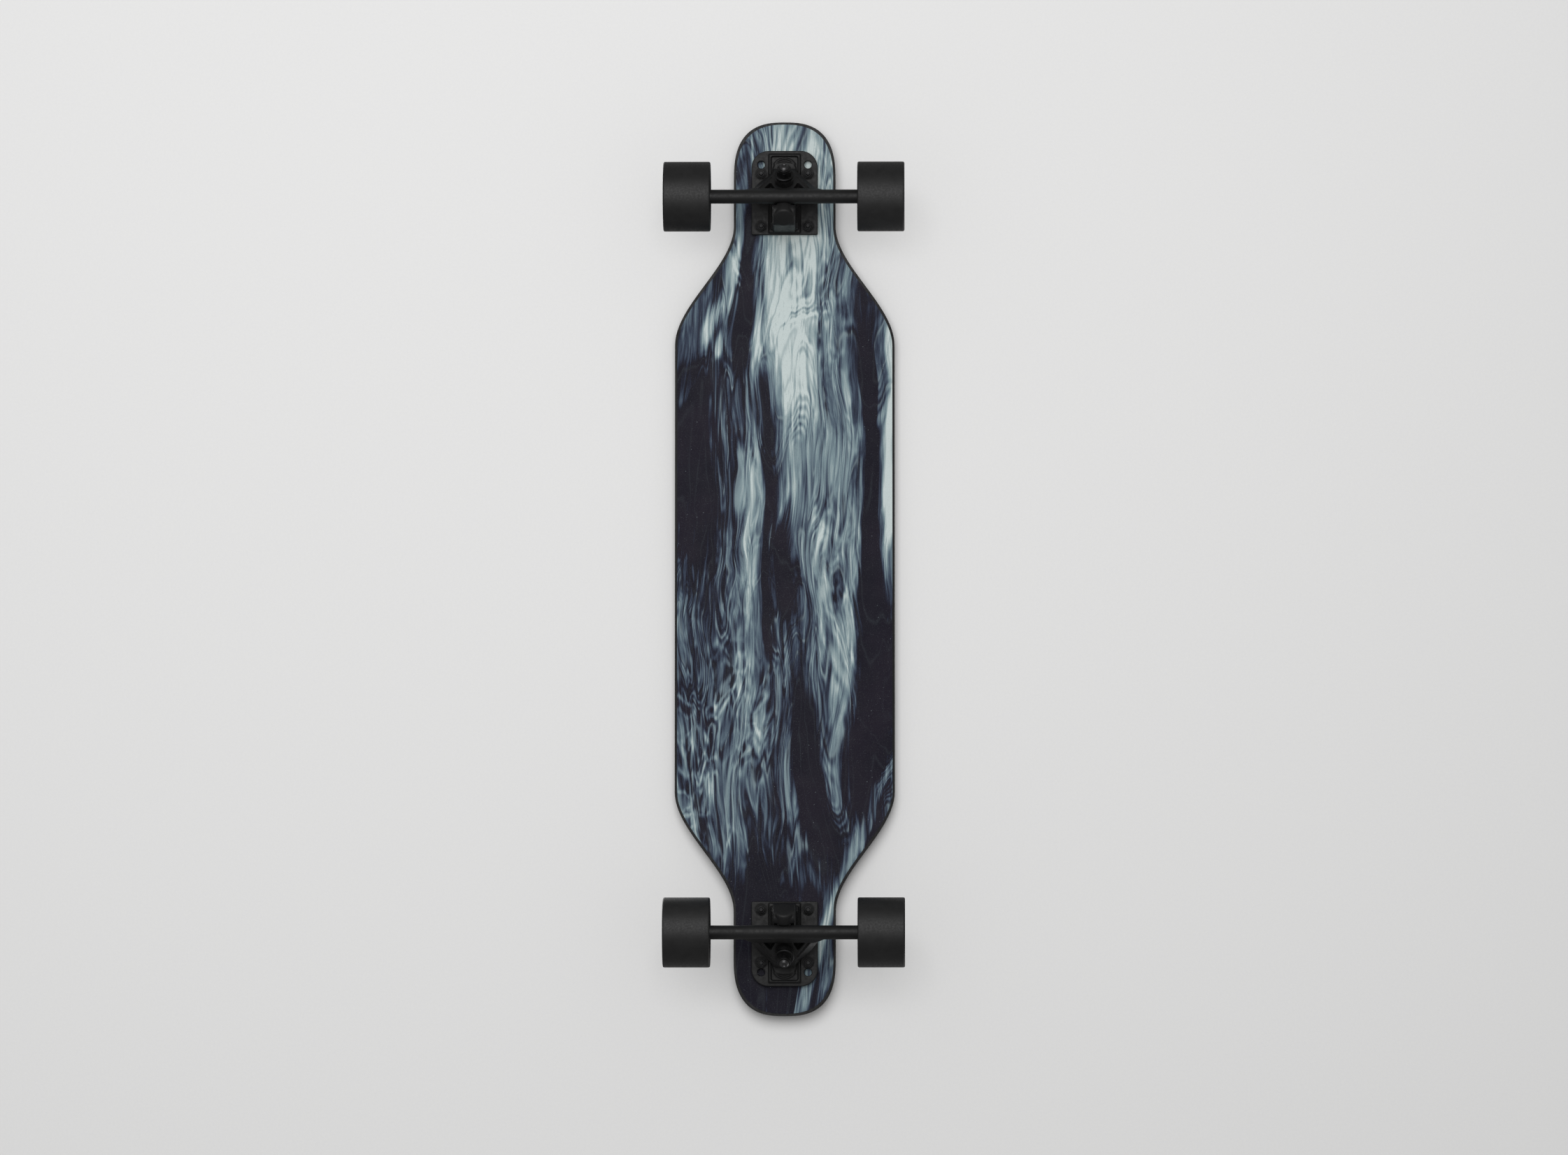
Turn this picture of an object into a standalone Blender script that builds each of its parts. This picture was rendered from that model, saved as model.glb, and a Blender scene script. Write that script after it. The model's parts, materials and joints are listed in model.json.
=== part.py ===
"""A plain longboard: cut-out deck, two reverse-kingpin trucks, four wheels.

Metres, +Z up, +X to the nose, +Y to the left. It stands on its wheels, and the
origin is on the ground under its centre. Each truck is modelled in its own
frame, whose +X points outboard (away from the middle of the board), and whose
origin is on the deck's underside at the baseplate's centre; a height given as
"drop" is measured from there towards the road.
"""

import math

import bmesh
import bpy
from mathutils import Matrix, Vector

MM = 0.001

# ---------------------------------------------------------------- deck
DECK_LENGTH = 915.0
DECK_HALF_WIDTH = 112.3
NECK_HALF_WIDTH = 52.0
DECK_THICKNESS = 11.0
DECK_EDGE_ROUND = 2.4
CUT_OUT_CENTRE = 289.8  # where the outline is half way from wide to neck
CUT_OUT_LENGTH = 122.0
NOSE_CAP = 60.0  # length of the rounded end
NOSE_POWER = 2.7  # superellipse exponent of the rounded end
CONCAVE = 6.0  # rise of the rails over the middle of the board
CONCAVE_FULL = 195.0  # full concave up to here, none from CONCAVE_NONE on
CONCAVE_NONE = 325.0
GRIP_THICKNESS = 0.8
FILM_THICKNESS = 0.3
FILM_INSET = 2.2
GAP = 0.3

# ---------------------------------------------------------------- wheels
WHEEL_RADIUS = 35.5
WHEEL_WIDTH = 48.0
WHEEL_CENTRE = 98.7  # from the board's centreline
CORE_RADIUS = 17.0
CORE_WIDTH = 30.0
BEARING_RADIUS = 11.0
BEARING_BORE = 4.25
BEARING_WIDTH = 7.0
BEARING_START = 5.3  # from the wheel's centre

# ---------------------------------------------------------------- trucks
BASE_CENTRE = 384.3  # from the board's centre
BASE_LENGTH = 86.4
BASE_WIDTH = 67.7
BASE_CORNER = 17.6
BASE_LOW = GAP + FILM_THICKNESS + GAP  # mounting face
BASE_TOP = 7.0
RIB_WIDTH = 31.7
RIB_TOP = 9.4
BOLT_IN, BOLT_OUT, HOLE_OUT = -34.6, 19.4, 28.9
BOLT_SIDE = 23.9
HOLE_RADIUS = 3.85
SHANK_RADIUS = 2.35
LEAN = math.radians(42.0)  # the kingpin's lean, and the steering axis' slope
RING_X, RING_DROP = 4.8, 31.0  # centre of the hanger's ring
RING_HALF = 4.5
AXLE_X, AXLE_DROP = -9.8, 60.0
AXLE_RADIUS = 3.9
AXLE_HALF = 119.5
TUBE_RADIUS = 6.75
TUBE_HALF = 86.0
BUSHING_RADIUS = 9.7
KINGPIN_RADIUS = 4.75
STEM_RADIUS = 6.0

DECK_BOTTOM = WHEEL_RADIUS + AXLE_DROP


# ---------------------------------------------------------------- scene
for old in list(bpy.data.objects):
    bpy.data.objects.remove(old, do_unlink=True)

parts = bpy.data.collections.new("longboard")
helpers = bpy.data.collections.new("longboard_cutters")
bpy.context.scene.collection.children.link(parts)
bpy.context.scene.collection.children.link(helpers)


def material(name, colour, roughness, metallic=0.0):
    made = bpy.data.materials.new(name)
    made.use_nodes = True
    shader = made.node_tree.nodes["Principled BSDF"]
    shader.inputs["Base Color"].default_value = (*colour, 1.0)
    shader.inputs["Roughness"].default_value = roughness
    shader.inputs["Metallic"].default_value = metallic
    made.diffuse_color = (*colour, 1.0)
    return made


MAPLE = material("maple", (0.02, 0.02, 0.022), 0.55)
GRIT = material("grip", (0.02, 0.02, 0.02), 0.95)
PRINT = material("print", (0.09, 0.13, 0.17), 0.4)
CAST = material("painted_casting", (0.016, 0.016, 0.018), 0.42)
URETHANE = material("wheel_urethane", (0.012, 0.012, 0.013), 0.5)
CORE_PLASTIC = material("core_plastic", (0.02, 0.02, 0.022), 0.45)
BUSHING = material("bushing_urethane", (0.03, 0.03, 0.032), 0.45)
STEEL = material("steel", (0.42, 0.42, 0.44), 0.3, 1.0)
BLACK_STEEL = material("black_steel", (0.05, 0.05, 0.055), 0.35, 0.8)


def new_object(name, mesh, mat, collection=parts):
    obj = bpy.data.objects.new(name, mesh)
    collection.objects.link(obj)
    if mat is not None:
        mesh.materials.append(mat)
    return obj


def empty(name, location=(0, 0, 0), rotation=(0, 0, 0), parent=None):
    made = bpy.data.objects.new(name, None)
    made.empty_display_size = 0.03
    made.location = Vector(location) * MM
    made.rotation_euler = rotation
    made.parent = parent
    parts.objects.link(made)
    return made


def hang(obj, parent, location=(0, 0, 0), rotation=(0, 0, 0)):
    obj.parent = parent
    obj.location = Vector(location) * MM
    obj.rotation_euler = rotation
    return obj


def cutter(obj):
    """Makes an object a helper: it cuts, and isn't a part."""
    for collection in list(obj.users_collection):
        collection.objects.unlink(obj)
    helpers.objects.link(obj)
    obj.hide_render = True
    obj.display_type = "WIRE"
    return obj


def smooth(obj, angle=32.0):
    obj.data.shade_smooth()
    obj.data.set_sharp_from_angle(angle=math.radians(angle))


def turned(name, profile, steps, mat):
    """A turned solid about its local Z: the profile is (radius, height), down its outer side."""
    mesh = bpy.data.meshes.new(name)
    points = [Vector((r * MM, 0, z * MM)) for r, z in profile]
    on_axis = profile[0][0] == 0 and profile[-1][0] == 0
    edges = [(i, i + 1) for i in range(len(points) - 1)]
    if not on_axis:
        edges.append((len(points) - 1, 0))
    mesh.from_pydata(points, edges, [])
    obj = new_object(name, mesh, mat)
    screw = obj.modifiers.new("Turn", "SCREW")
    screw.axis = "Z"
    screw.angle = 2 * math.pi
    screw.steps = screw.render_steps = steps
    screw.use_merge_vertices = True
    screw.merge_threshold = 1e-6
    screw.use_smooth_shade = False
    return obj


def ring(name, inner, outer, low, high, steps, mat, chamfer=0.0):
    c = chamfer
    if c:
        profile = [
            (inner, high),
            (outer - c, high),
            (outer, high - c),
            (outer, low + c),
            (outer - c, low),
            (inner, low),
        ]
    else:
        profile = [(inner, high), (outer, high), (outer, low), (inner, low)]
    return turned(name, profile, steps, mat)


def outline_prism(name, outline, low, high, mat):
    """A flat outline in XY, extruded in Z: a filled 2D curve turned into a mesh."""
    curve = bpy.data.curves.new(name, "CURVE")
    curve.dimensions = "2D"
    curve.fill_mode = "BOTH"
    curve.extrude = (high - low) / 2 * MM
    spline = curve.splines.new("POLY")
    spline.points.add(len(outline) - 1)
    for point, (x, y) in zip(spline.points, outline):
        point.co = (x * MM, y * MM, 0, 1)
    spline.use_cyclic_u = True
    drawn = bpy.data.objects.new(name + "_outline", curve)
    parts.objects.link(drawn)
    bpy.context.view_layer.update()
    graph = bpy.context.evaluated_depsgraph_get()
    mesh = bpy.data.meshes.new_from_object(drawn.evaluated_get(graph))
    bpy.data.objects.remove(drawn, do_unlink=True)
    shaped = bmesh.new()
    shaped.from_mesh(mesh)
    bmesh.ops.remove_doubles(shaped, verts=shaped.verts, dist=1e-6)
    bmesh.ops.translate(shaped, verts=shaped.verts, vec=(0, 0, (low + high) / 2 * MM))
    bmesh.ops.recalc_face_normals(shaped, faces=shaped.faces)
    shaped.to_mesh(mesh)
    shaped.free()
    mesh.materials.clear()
    mesh.name = name
    return new_object(name, mesh, mat)


def cylinder(name, radius, low, high, steps, mat=None):
    shaped = bmesh.new()
    bmesh.ops.create_cone(
        shaped,
        cap_ends=True,
        segments=steps,
        radius1=radius * MM,
        radius2=radius * MM,
        depth=(high - low) * MM,
        matrix=Matrix.Translation((0, 0, (low + high) / 2 * MM)),
    )
    mesh = bpy.data.meshes.new(name)
    shaped.to_mesh(mesh)
    shaped.free()
    return new_object(name, mesh, mat)


def boolean(obj, other, operation="DIFFERENCE"):
    modifier = obj.modifiers.new(other.name, "BOOLEAN")
    modifier.operation = operation
    modifier.object = other
    modifier.solver = "EXACT"


# ---------------------------------------------------------------- deck shape
def step_between(value, low, high):
    t = min(1.0, max(0.0, (value - low) / (high - low)))
    return t * t * (3 - 2 * t)


def outline_half_width(x):
    """Half the deck's width at a station x: wide middle, cut-outs at the wheels, rounded ends."""
    x = abs(x)
    cap_start = DECK_LENGTH / 2 - NOSE_CAP
    narrow = step_between(
        x,
        CUT_OUT_CENTRE - CUT_OUT_LENGTH / 2,
        CUT_OUT_CENTRE + CUT_OUT_LENGTH / 2,
    )
    width = DECK_HALF_WIDTH + (NECK_HALF_WIDTH - DECK_HALF_WIDTH) * narrow
    if x > cap_start:
        along = min(1.0, (x - cap_start) / NOSE_CAP)
        width *= (1 - along**NOSE_POWER) ** (1 / NOSE_POWER)
    return width


def concave(x, y):
    fade = 1 - step_between(abs(x), CONCAVE_FULL, CONCAVE_NONE)
    return CONCAVE * fade * (y / DECK_HALF_WIDTH) ** 2


def stations():
    cap_start = DECK_LENGTH / 2 - NOSE_CAP
    half = [0, 60, 120, 180, 222, 246, 262, 278, 290, 302, 318, 338, 362, cap_start]
    steps = 8
    for i in range(1, steps + 1):
        angle = math.pi / 2 * i / steps
        half.append(cap_start + NOSE_CAP * math.sin(angle) ** (2 / NOSE_POWER))
    return [-x for x in reversed(half[1:])] + half


def deck_sheet(name, height, thickness, inset, across, mat):
    """A sheet that follows the deck: a grid bent to the outline and the concave, given a thickness."""
    rows = stations()
    shrink = (DECK_LENGTH / 2 - inset) / (DECK_LENGTH / 2)
    shaped = bmesh.new()
    bmesh.ops.create_grid(
        shaped, x_segments=len(rows) - 1, y_segments=across, size=1.0
    )
    for vert in shaped.verts:
        row = round((vert.co.x + 1) / 2 * (len(rows) - 1))
        x = rows[row]
        half = max(0.0, outline_half_width(x) - inset)
        if abs(x) > DECK_LENGTH / 2 - 1e-6:
            half = 0.0
        y = vert.co.y * half
        vert.co = Vector((x * shrink * MM, y * MM, (height + concave(x, y)) * MM))
    bmesh.ops.remove_doubles(shaped, verts=shaped.verts, dist=1e-6)
    bmesh.ops.dissolve_degenerate(shaped, edges=shaped.edges, dist=1e-7)
    bmesh.ops.recalc_face_normals(shaped, faces=shaped.faces)
    if sum(face.normal.z for face in shaped.faces) < 0:
        bmesh.ops.reverse_faces(shaped, faces=shaped.faces)
    mesh = bpy.data.meshes.new(name)
    shaped.to_mesh(mesh)
    shaped.free()
    obj = new_object(name, mesh, mat)
    solid = obj.modifiers.new("Thickness", "SOLIDIFY")
    solid.thickness = thickness * MM
    solid.offset = 1.0
    solid.use_even_offset = True
    return obj


deck = deck_sheet("deck", DECK_BOTTOM, DECK_THICKNESS, 0.0, 6, MAPLE)
edge = deck.modifiers.new("Rounded edge", "BEVEL")
edge.width = DECK_EDGE_ROUND * MM
edge.segments = 2
edge.limit_method = "ANGLE"
edge.angle_limit = math.radians(50)

GRIP_LOW = DECK_BOTTOM + DECK_THICKNESS + GAP
grip = deck_sheet("grip_tape", GRIP_LOW, GRIP_THICKNESS, 2.6, 6, GRIT)
FILM_LOW = DECK_BOTTOM - GAP - FILM_THICKNESS
film = deck_sheet("bottom_graphic", FILM_LOW, FILM_THICKNESS, 2.6, 6, PRINT)

# ---------------------------------------------------------------- deck bolts
GRIP_TOP = GRIP_LOW + GRIP_THICKNESS
HEAD_RADIUS = 4.5
BOLT_TOP = GRIP_TOP - 0.05
BOLT_TIP = DECK_BOTTOM - 15.0
NUT_LOW, NUT_HIGH = BASE_TOP + 0.3, BASE_TOP + 5.2

bolt_spots = []
for end in (1, -1):
    for along in (BOLT_IN, BOLT_OUT):
        for side in (1, -1):
            bolt_spots.append((end * (BASE_CENTRE + along), side * BOLT_SIDE))

for number, (x, y) in enumerate(bolt_spots, start=1):
    bolt = turned(
        f"deck_bolt_{number}",
        [
            (0, BOLT_TOP),
            (HEAD_RADIUS, BOLT_TOP),
            (HEAD_RADIUS, BOLT_TOP - 0.6),
            (SHANK_RADIUS, BOLT_TOP - 3.1),
            (SHANK_RADIUS, BOLT_TIP + 0.6),
            (SHANK_RADIUS - 0.6, BOLT_TIP),
            (0, BOLT_TIP),
        ],
        10,
        BLACK_STEEL,
    )
    bolt.location = (x * MM, y * MM, 0)
    nut = ring(
        f"lock_nut_{number}",
        3.15,
        5.2,
        DECK_BOTTOM - NUT_HIGH,
        DECK_BOTTOM - NUT_LOW,
        6,
        STEEL,
    )
    nut.location = (x * MM, y * MM, 0)
    # The hole through grip tape, deck and film, with its countersink.
    hole = turned(
        f"bolt_hole_{number}",
        [
            (0, GRIP_TOP + 4),
            (HEAD_RADIUS + 0.4, GRIP_TOP + 4),
            (HEAD_RADIUS + 0.4, BOLT_TOP - 0.6),
            (SHANK_RADIUS + 0.4, BOLT_TOP - 3.3),
            (SHANK_RADIUS + 0.4, DECK_BOTTOM - 4),
            (0, DECK_BOTTOM - 4),
        ],
        10,
        None,
    )
    hole.location = (x * MM, y * MM, 0)
    cutter(hole)
    for sheet in (deck, grip, film):
        boolean(sheet, hole)

# ---------------------------------------------------------------- truck shapes
SIN, COS = math.sin(LEAN), math.cos(LEAN)


def truck_point(t, s):
    """(outboard x, drop) of a point t along the steering axis and s along the kingpin, from the ring's centre."""
    return RING_X + t * COS + s * SIN, RING_DROP - t * SIN + s * COS


def rounded_base_outline():
    half_length, half_width, r = BASE_LENGTH / 2, BASE_WIDTH / 2, BASE_CORNER
    small = 2.0
    corners = [
        (half_length - r, half_width - r, r, 0),
        (-half_length + small, half_width - small, small, 90),
        (-half_length + small, -half_width + small, small, 180),
        (half_length - r, -half_width + r, r, 270),
    ]
    points = []
    for cx, cy, radius, start in corners:
        count = 7 if radius > 5 else 3
        for i in range(count):
            angle = math.radians(start + 90 * i / (count - 1))
            points.append((cx + radius * math.cos(angle), cy + radius * math.sin(angle)))
    return points


def side_prism(name, profile, half_width, mat=None):
    """A side profile of (outboard x, drop) points, extruded across the board."""
    obj = outline_prism(name, [(x, -drop) for x, drop in profile], -half_width, half_width, mat)
    # The drawing's y is height: stand it up, so that the extrusion runs across.
    obj.data.transform(Matrix.Rotation(math.radians(90), 4, "X"))
    return obj


# Local Z of a piece on the kingpin points to the road, and of one on the
# steering axis inboard.
KINGPIN_TURN = Vector((SIN, 0, -COS)).to_track_quat("Z", "Y").to_euler()
STEM_TURN = Vector((-COS, 0, -SIN)).to_track_quat("Z", "Y").to_euler()
CROSS_TURN = (math.radians(-90), 0, 0)  # local Z to +Y
RING_AT = (RING_X, 0, -RING_DROP)
AXLE_AT = (AXLE_X, 0, -AXLE_DROP)

SEAT = -(RING_HALF + 0.3 + 12.0 + 0.3 + 1.8 + 0.3)
CUP_MOUTH, CUP_END = 38.6, 48.2


def make_baseplate(name):
    plate = outline_prism(name, rounded_base_outline(), -BASE_TOP, -BASE_LOW, CAST)

    # Raised rib, with its sunk panel outboard of the kingpin seat.
    half = BASE_LENGTH / 2
    rib = side_prism(
        name + "_rib",
        [
            (half - 1.4, 4.0),
            (half - 4.6, RIB_TOP),
            (-half + 3.0, RIB_TOP),
            (-half + 1.2, 4.0),
        ],
        RIB_WIDTH / 2,
    )
    boolean(plate, cutter(rib), "UNION")

    # Kingpin seat and pivot leg, drawn in the plane of the kingpin.
    body = [
        (*truck_point(15.0, SEAT),),
        (*truck_point(-12.5, SEAT),),
        (*truck_point(-12.5, -10.5),),
        (*truck_point(-38.0, -10.5),),
        (*truck_point(-38.0, 8.0),),
        (*truck_point(-40.5, 10.5),),
        (*truck_point(-48.0, 10.5),),
        (*truck_point(-51.0, 6.5),),
        (*truck_point(-51.0, -9.5),),
        (-41.6, 32.0),
        (-41.6, 4.0),
        (5.5, 4.0),
    ]
    leg = side_prism(name + "_leg", body, 11.5)
    boolean(plate, cutter(leg), "UNION")

    panel = outline_prism(
        name + "_panel",
        [(37.6, -13.9), (37.6, 13.9), (7.0, 13.9), (7.0, -13.9)],
        -12.0,
        -7.6,
        None,
    )
    boolean(plate, cutter(panel))

    pad = outline_prism(
        name + "_pad",
        [(14.0, -12.3), (24.0, -12.3), (28.5, -10.2), (31.3, -5.0), (31.3, 5.0), (28.5, 10.2), (24.0, 12.3), (14.0, 12.3)],
        -8.7,
        -6.2,
        None,
    )
    boolean(plate, cutter(pad), "UNION")

    # Kingpin hole with the pocket for its head, open to the deck.
    bore = cylinder(name + "_kingpin_hole", KINGPIN_RADIUS + 0.4, -60, SEAT + 6, 16)
    hang(cutter(bore), None, RING_AT, KINGPIN_TURN)
    boolean(plate, bore)
    pocket = cylinder(name + "_head_pocket", 7.6, -60, -27.5, 16)
    hang(cutter(pocket), None, RING_AT, KINGPIN_TURN)
    boolean(plate, pocket)

    # Bore for the pivot cup.
    cup_bore = cylinder(name + "_cup_bore", 8.35, 30, CUP_END + 0.3, 20)
    hang(cutter(cup_bore), None, RING_AT, STEM_TURN)
    boolean(plate, cup_bore)

    # Four bolt holes and the two spare outboard ones.
    for along in (BOLT_IN, BOLT_OUT, HOLE_OUT):
        for side in (1, -1):
            hole = cylinder(f"{name}_hole_{along:.0f}_{side}", HOLE_RADIUS, -20, 10, 12)
            hang(cutter(hole), None, (along, side * BOLT_SIDE, 0))
            boolean(plate, hole)
    return plate


# Hanger body between the axle tube and the nose of the yoke: stations along
# the steering axis as (t, half width roadside, half width deckside, s roadside,
# s deckside).
HANGER_STATIONS = [
    (-34.0, 43.0, 43.0, 15.0, 7.0),
    (-26.0, 40.5, 43.5, 14.5, 2.5),
    (-18.0, 34.0, 41.0, 9.5, -3.0),
    (-11.5, 28.0, 38.0, RING_HALF, -RING_HALF),
    (0.0, 20.0, 32.0, RING_HALF, -RING_HALF),
    (8.0, 14.5, 27.0, RING_HALF, -RING_HALF),
    (13.0, 11.5, 22.8, RING_HALF, -RING_HALF),
    (19.0, 11.0, 17.2, 3.6, -4.2),
    (24.0, 11.0, 12.6, 2.0, -3.0),
]


def make_hanger(name):
    """The hanger: loft between unlike sections, axle tube and pivot stem, ring hole and axle bore."""
    shaped = bmesh.new()
    rows = []
    for t, top_half, low_half, top, low in HANGER_STATIONS:
        row = []
        for half, s in ((top_half, top), (-top_half, top), (-low_half, low), (low_half, low)):
            x, drop = truck_point(t, s)
            row.append(shaped.verts.new((x * MM, half * MM, -drop * MM)))
        rows.append(row)
    for a, b in zip(rows, rows[1:]):
        for i in range(4):
            j = (i + 1) % 4
            shaped.faces.new((a[i], a[j], b[j], b[i]))
    shaped.faces.new(rows[0])
    shaped.faces.new(list(reversed(rows[-1])))
    bmesh.ops.recalc_face_normals(shaped, faces=shaped.faces)
    mesh = bpy.data.meshes.new(name)
    shaped.to_mesh(mesh)
    shaped.free()
    body = new_object(name, mesh, CAST)

    tube = turned(
        name + "_tube",
        [
            (0, TUBE_HALF),
            (5.6, TUBE_HALF),
            (5.6, TUBE_HALF - 3.0),
            (TUBE_RADIUS, TUBE_HALF - 5.0),
            (TUBE_RADIUS, -TUBE_HALF + 5.0),
            (5.6, -TUBE_HALF + 3.0),
            (5.6, -TUBE_HALF),
            (0, -TUBE_HALF),
        ],
        24,
        None,
    )
    hang(cutter(tube), None, AXLE_AT, CROSS_TURN)
    boolean(body, tube, "UNION")

    stem = turned(
        name + "_stem",
        [(0, 46.3), (3.4, 46.3), (5.4, 43.6), (5.4, 37.0), (STEM_RADIUS, 34.0), (STEM_RADIUS, 12.0), (0, 12.0)],
        16,
        None,
    )
    hang(cutter(stem), None, RING_AT, STEM_TURN)
    boolean(body, stem, "UNION")

    hole = cylinder(name + "_ring_hole", 6.6, -9, 9, 20)
    hang(cutter(hole), None, RING_AT, KINGPIN_TURN)
    boolean(body, hole)
    bore = cylinder(name + "_axle_bore", AXLE_RADIUS + 0.32, -TUBE_HALF - 5, TUBE_HALF + 5, 12)
    hang(cutter(bore), None, AXLE_AT, CROSS_TURN)
    boolean(body, bore)
    return body


def apply_modifiers(obj):
    graph = bpy.context.evaluated_depsgraph_get()
    mesh = bpy.data.meshes.new_from_object(obj.evaluated_get(graph))
    obj.modifiers.clear()
    obj.data = mesh


base_model = make_baseplate("front_baseplate")
hanger_model = make_hanger("front_hanger")
bpy.context.view_layer.update()
for model in (base_model, hanger_model):
    apply_modifiers(model)
    smooth(model)
base_mesh, hanger_mesh = base_model.data, hanger_model.data
# The hanger's origin goes to the steering axis.
hanger_mesh.transform(Matrix.Translation(-Vector(RING_AT) * MM))
for used in list(helpers.objects):
    if used.name.startswith((base_model.name + "_", hanger_model.name + "_")):
        bpy.data.objects.remove(used, do_unlink=True)
bpy.data.objects.remove(base_model, do_unlink=True)
bpy.data.objects.remove(hanger_model, do_unlink=True)

STACK = {
    "boardside_washer": (SEAT + 0.3, SEAT + 2.1),
    "boardside_bushing": (-RING_HALF - 0.3 - 12.0, -RING_HALF - 0.3),
    "roadside_bushing": (RING_HALF + 0.3, RING_HALF + 0.3 + 9.2),
    "roadside_washer": (RING_HALF + 9.8, RING_HALF + 11.6),
    "kingpin_nut": (RING_HALF + 11.9, RING_HALF + 19.9),
}


def make_wheel(label, truck_steer, side):
    """One wheel on its axle end: tyre, core and two bearings, which spin, and the nut."""
    spin = empty(
        label + "_spin",
        (AXLE_X - RING_X, side * WHEEL_CENTRE, -AXLE_DROP + RING_DROP),
        CROSS_TURN,
        truck_steer,
    )
    half = WHEEL_WIDTH / 2
    tyre = turned(
        label + "_tyre",
        [
            (CORE_RADIUS + 0.3, 15.3),
            (21.0, 15.3),
            (27.5, half - 0.6),
            (31.0, half),
            (34.6, half - 0.5),
            (WHEEL_RADIUS, half - 2.0),
            (WHEEL_RADIUS, -half + 2.0),
            (34.6, -half + 0.5),
            (31.0, -half),
            (27.5, -half + 0.6),
            (21.0, -15.3),
            (CORE_RADIUS + 0.3, -15.3),
        ],
        32,
        URETHANE,
    )
    hang(tyre, spin)
    core_half = CORE_WIDTH / 2
    core = turned(
        label + "_core",
        [
            (BEARING_RADIUS + 0.3, core_half),
            (CORE_RADIUS, core_half),
            (CORE_RADIUS, -core_half),
            (BEARING_RADIUS + 0.3, -core_half),
            (BEARING_RADIUS + 0.3, -BEARING_START + 0.3),
            (9.2, -BEARING_START + 0.3),
            (9.2, BEARING_START - 0.3),
            (BEARING_RADIUS + 0.3, BEARING_START - 0.3),
        ],
        20,
        CORE_PLASTIC,
    )
    hang(core, spin)
    for part, direction in (("inner_bearing", -side), ("outer_bearing", side)):
        ends = sorted(
            (direction * BEARING_START, direction * (BEARING_START + BEARING_WIDTH))
        )
        bearing = ring(
            f"{label}_{part}", BEARING_BORE, BEARING_RADIUS, ends[0], ends[1], 16, STEEL
        )
        hang(bearing, spin)
    start = WHEEL_CENTRE + BEARING_START + BEARING_WIDTH + 0.4
    ends = sorted((side * start, side * (start + 6.2)))
    nut = ring(label + "_axle_nut", 4.9, 7.3, ends[0], ends[1], 6, STEEL)
    hang(nut, truck_steer, (AXLE_X - RING_X, 0, -AXLE_DROP + RING_DROP), CROSS_TURN)


for end, direction in (("front", 1), ("rear", -1)):
    turn = 0.0 if direction == 1 else math.pi
    truck = empty(end + "_truck", (direction * BASE_CENTRE, 0, DECK_BOTTOM), (0, 0, turn))
    hang(new_object(end + "_baseplate", base_mesh, None), truck)
    cup = turned(
        end + "_pivot_cup",
        [
            (0, CUP_END),
            (8.0, CUP_END),
            (8.0, CUP_MOUTH),
            (5.8, CUP_MOUTH),
            (5.8, 44.0),
            (4.0, CUP_END - 1.55),
            (0, CUP_END - 1.55),
        ],
        16,
        BUSHING,
    )
    hang(cup, truck, RING_AT, STEM_TURN)
    kingpin = turned(
        end + "_kingpin",
        [
            (0, 27.0),
            (3.6, 27.0),
            (KINGPIN_RADIUS, 25.6),
            (KINGPIN_RADIUS, -27.8),
            (7.0, -27.8),
            (7.0, -33.6),
            (0, -33.6),
        ],
        12,
        STEEL,
    )
    hang(kingpin, truck, RING_AT, KINGPIN_TURN)
    for part, (low, high) in STACK.items():
        if part.endswith("washer"):
            piece = ring(f"{end}_{part}", 5.2, 10.2, low, high, 16, BLACK_STEEL)
        elif part.endswith("bushing"):
            piece = ring(f"{end}_{part}", 5.2, BUSHING_RADIUS, low, high, 16, BUSHING, 0.9)
        else:
            piece = ring(f"{end}_{part}", 5.9, 8.2, low, high, 6, BLACK_STEEL)
        hang(piece, truck, RING_AT, KINGPIN_TURN)

    steer = empty(end + "_steer", RING_AT, (0, 0, 0), truck)
    hang(new_object(end + "_hanger", hanger_mesh, None), steer)
    axle = turned(
        end + "_axle",
        [
            (0, AXLE_HALF),
            (3.2, AXLE_HALF),
            (AXLE_RADIUS, AXLE_HALF - 0.8),
            (AXLE_RADIUS, -AXLE_HALF + 0.8),
            (3.2, -AXLE_HALF),
            (0, -AXLE_HALF),
        ],
        12,
        STEEL,
    )
    hang(axle, steer, (AXLE_X - RING_X, 0, -AXLE_DROP + RING_DROP), CROSS_TURN)
    # A truck turned half round has its +Y on the board's right.
    for label, side in (("left", direction), ("right", -direction)):
        make_wheel(f"{end}_{label}", steer, side)

bpy.context.view_layer.update()
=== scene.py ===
"""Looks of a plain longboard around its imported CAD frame. Metres, +X nose, +Y left, +Z up."""

import json
import math

import bmesh
import bpy
from mathutils import Matrix, Vector

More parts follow.
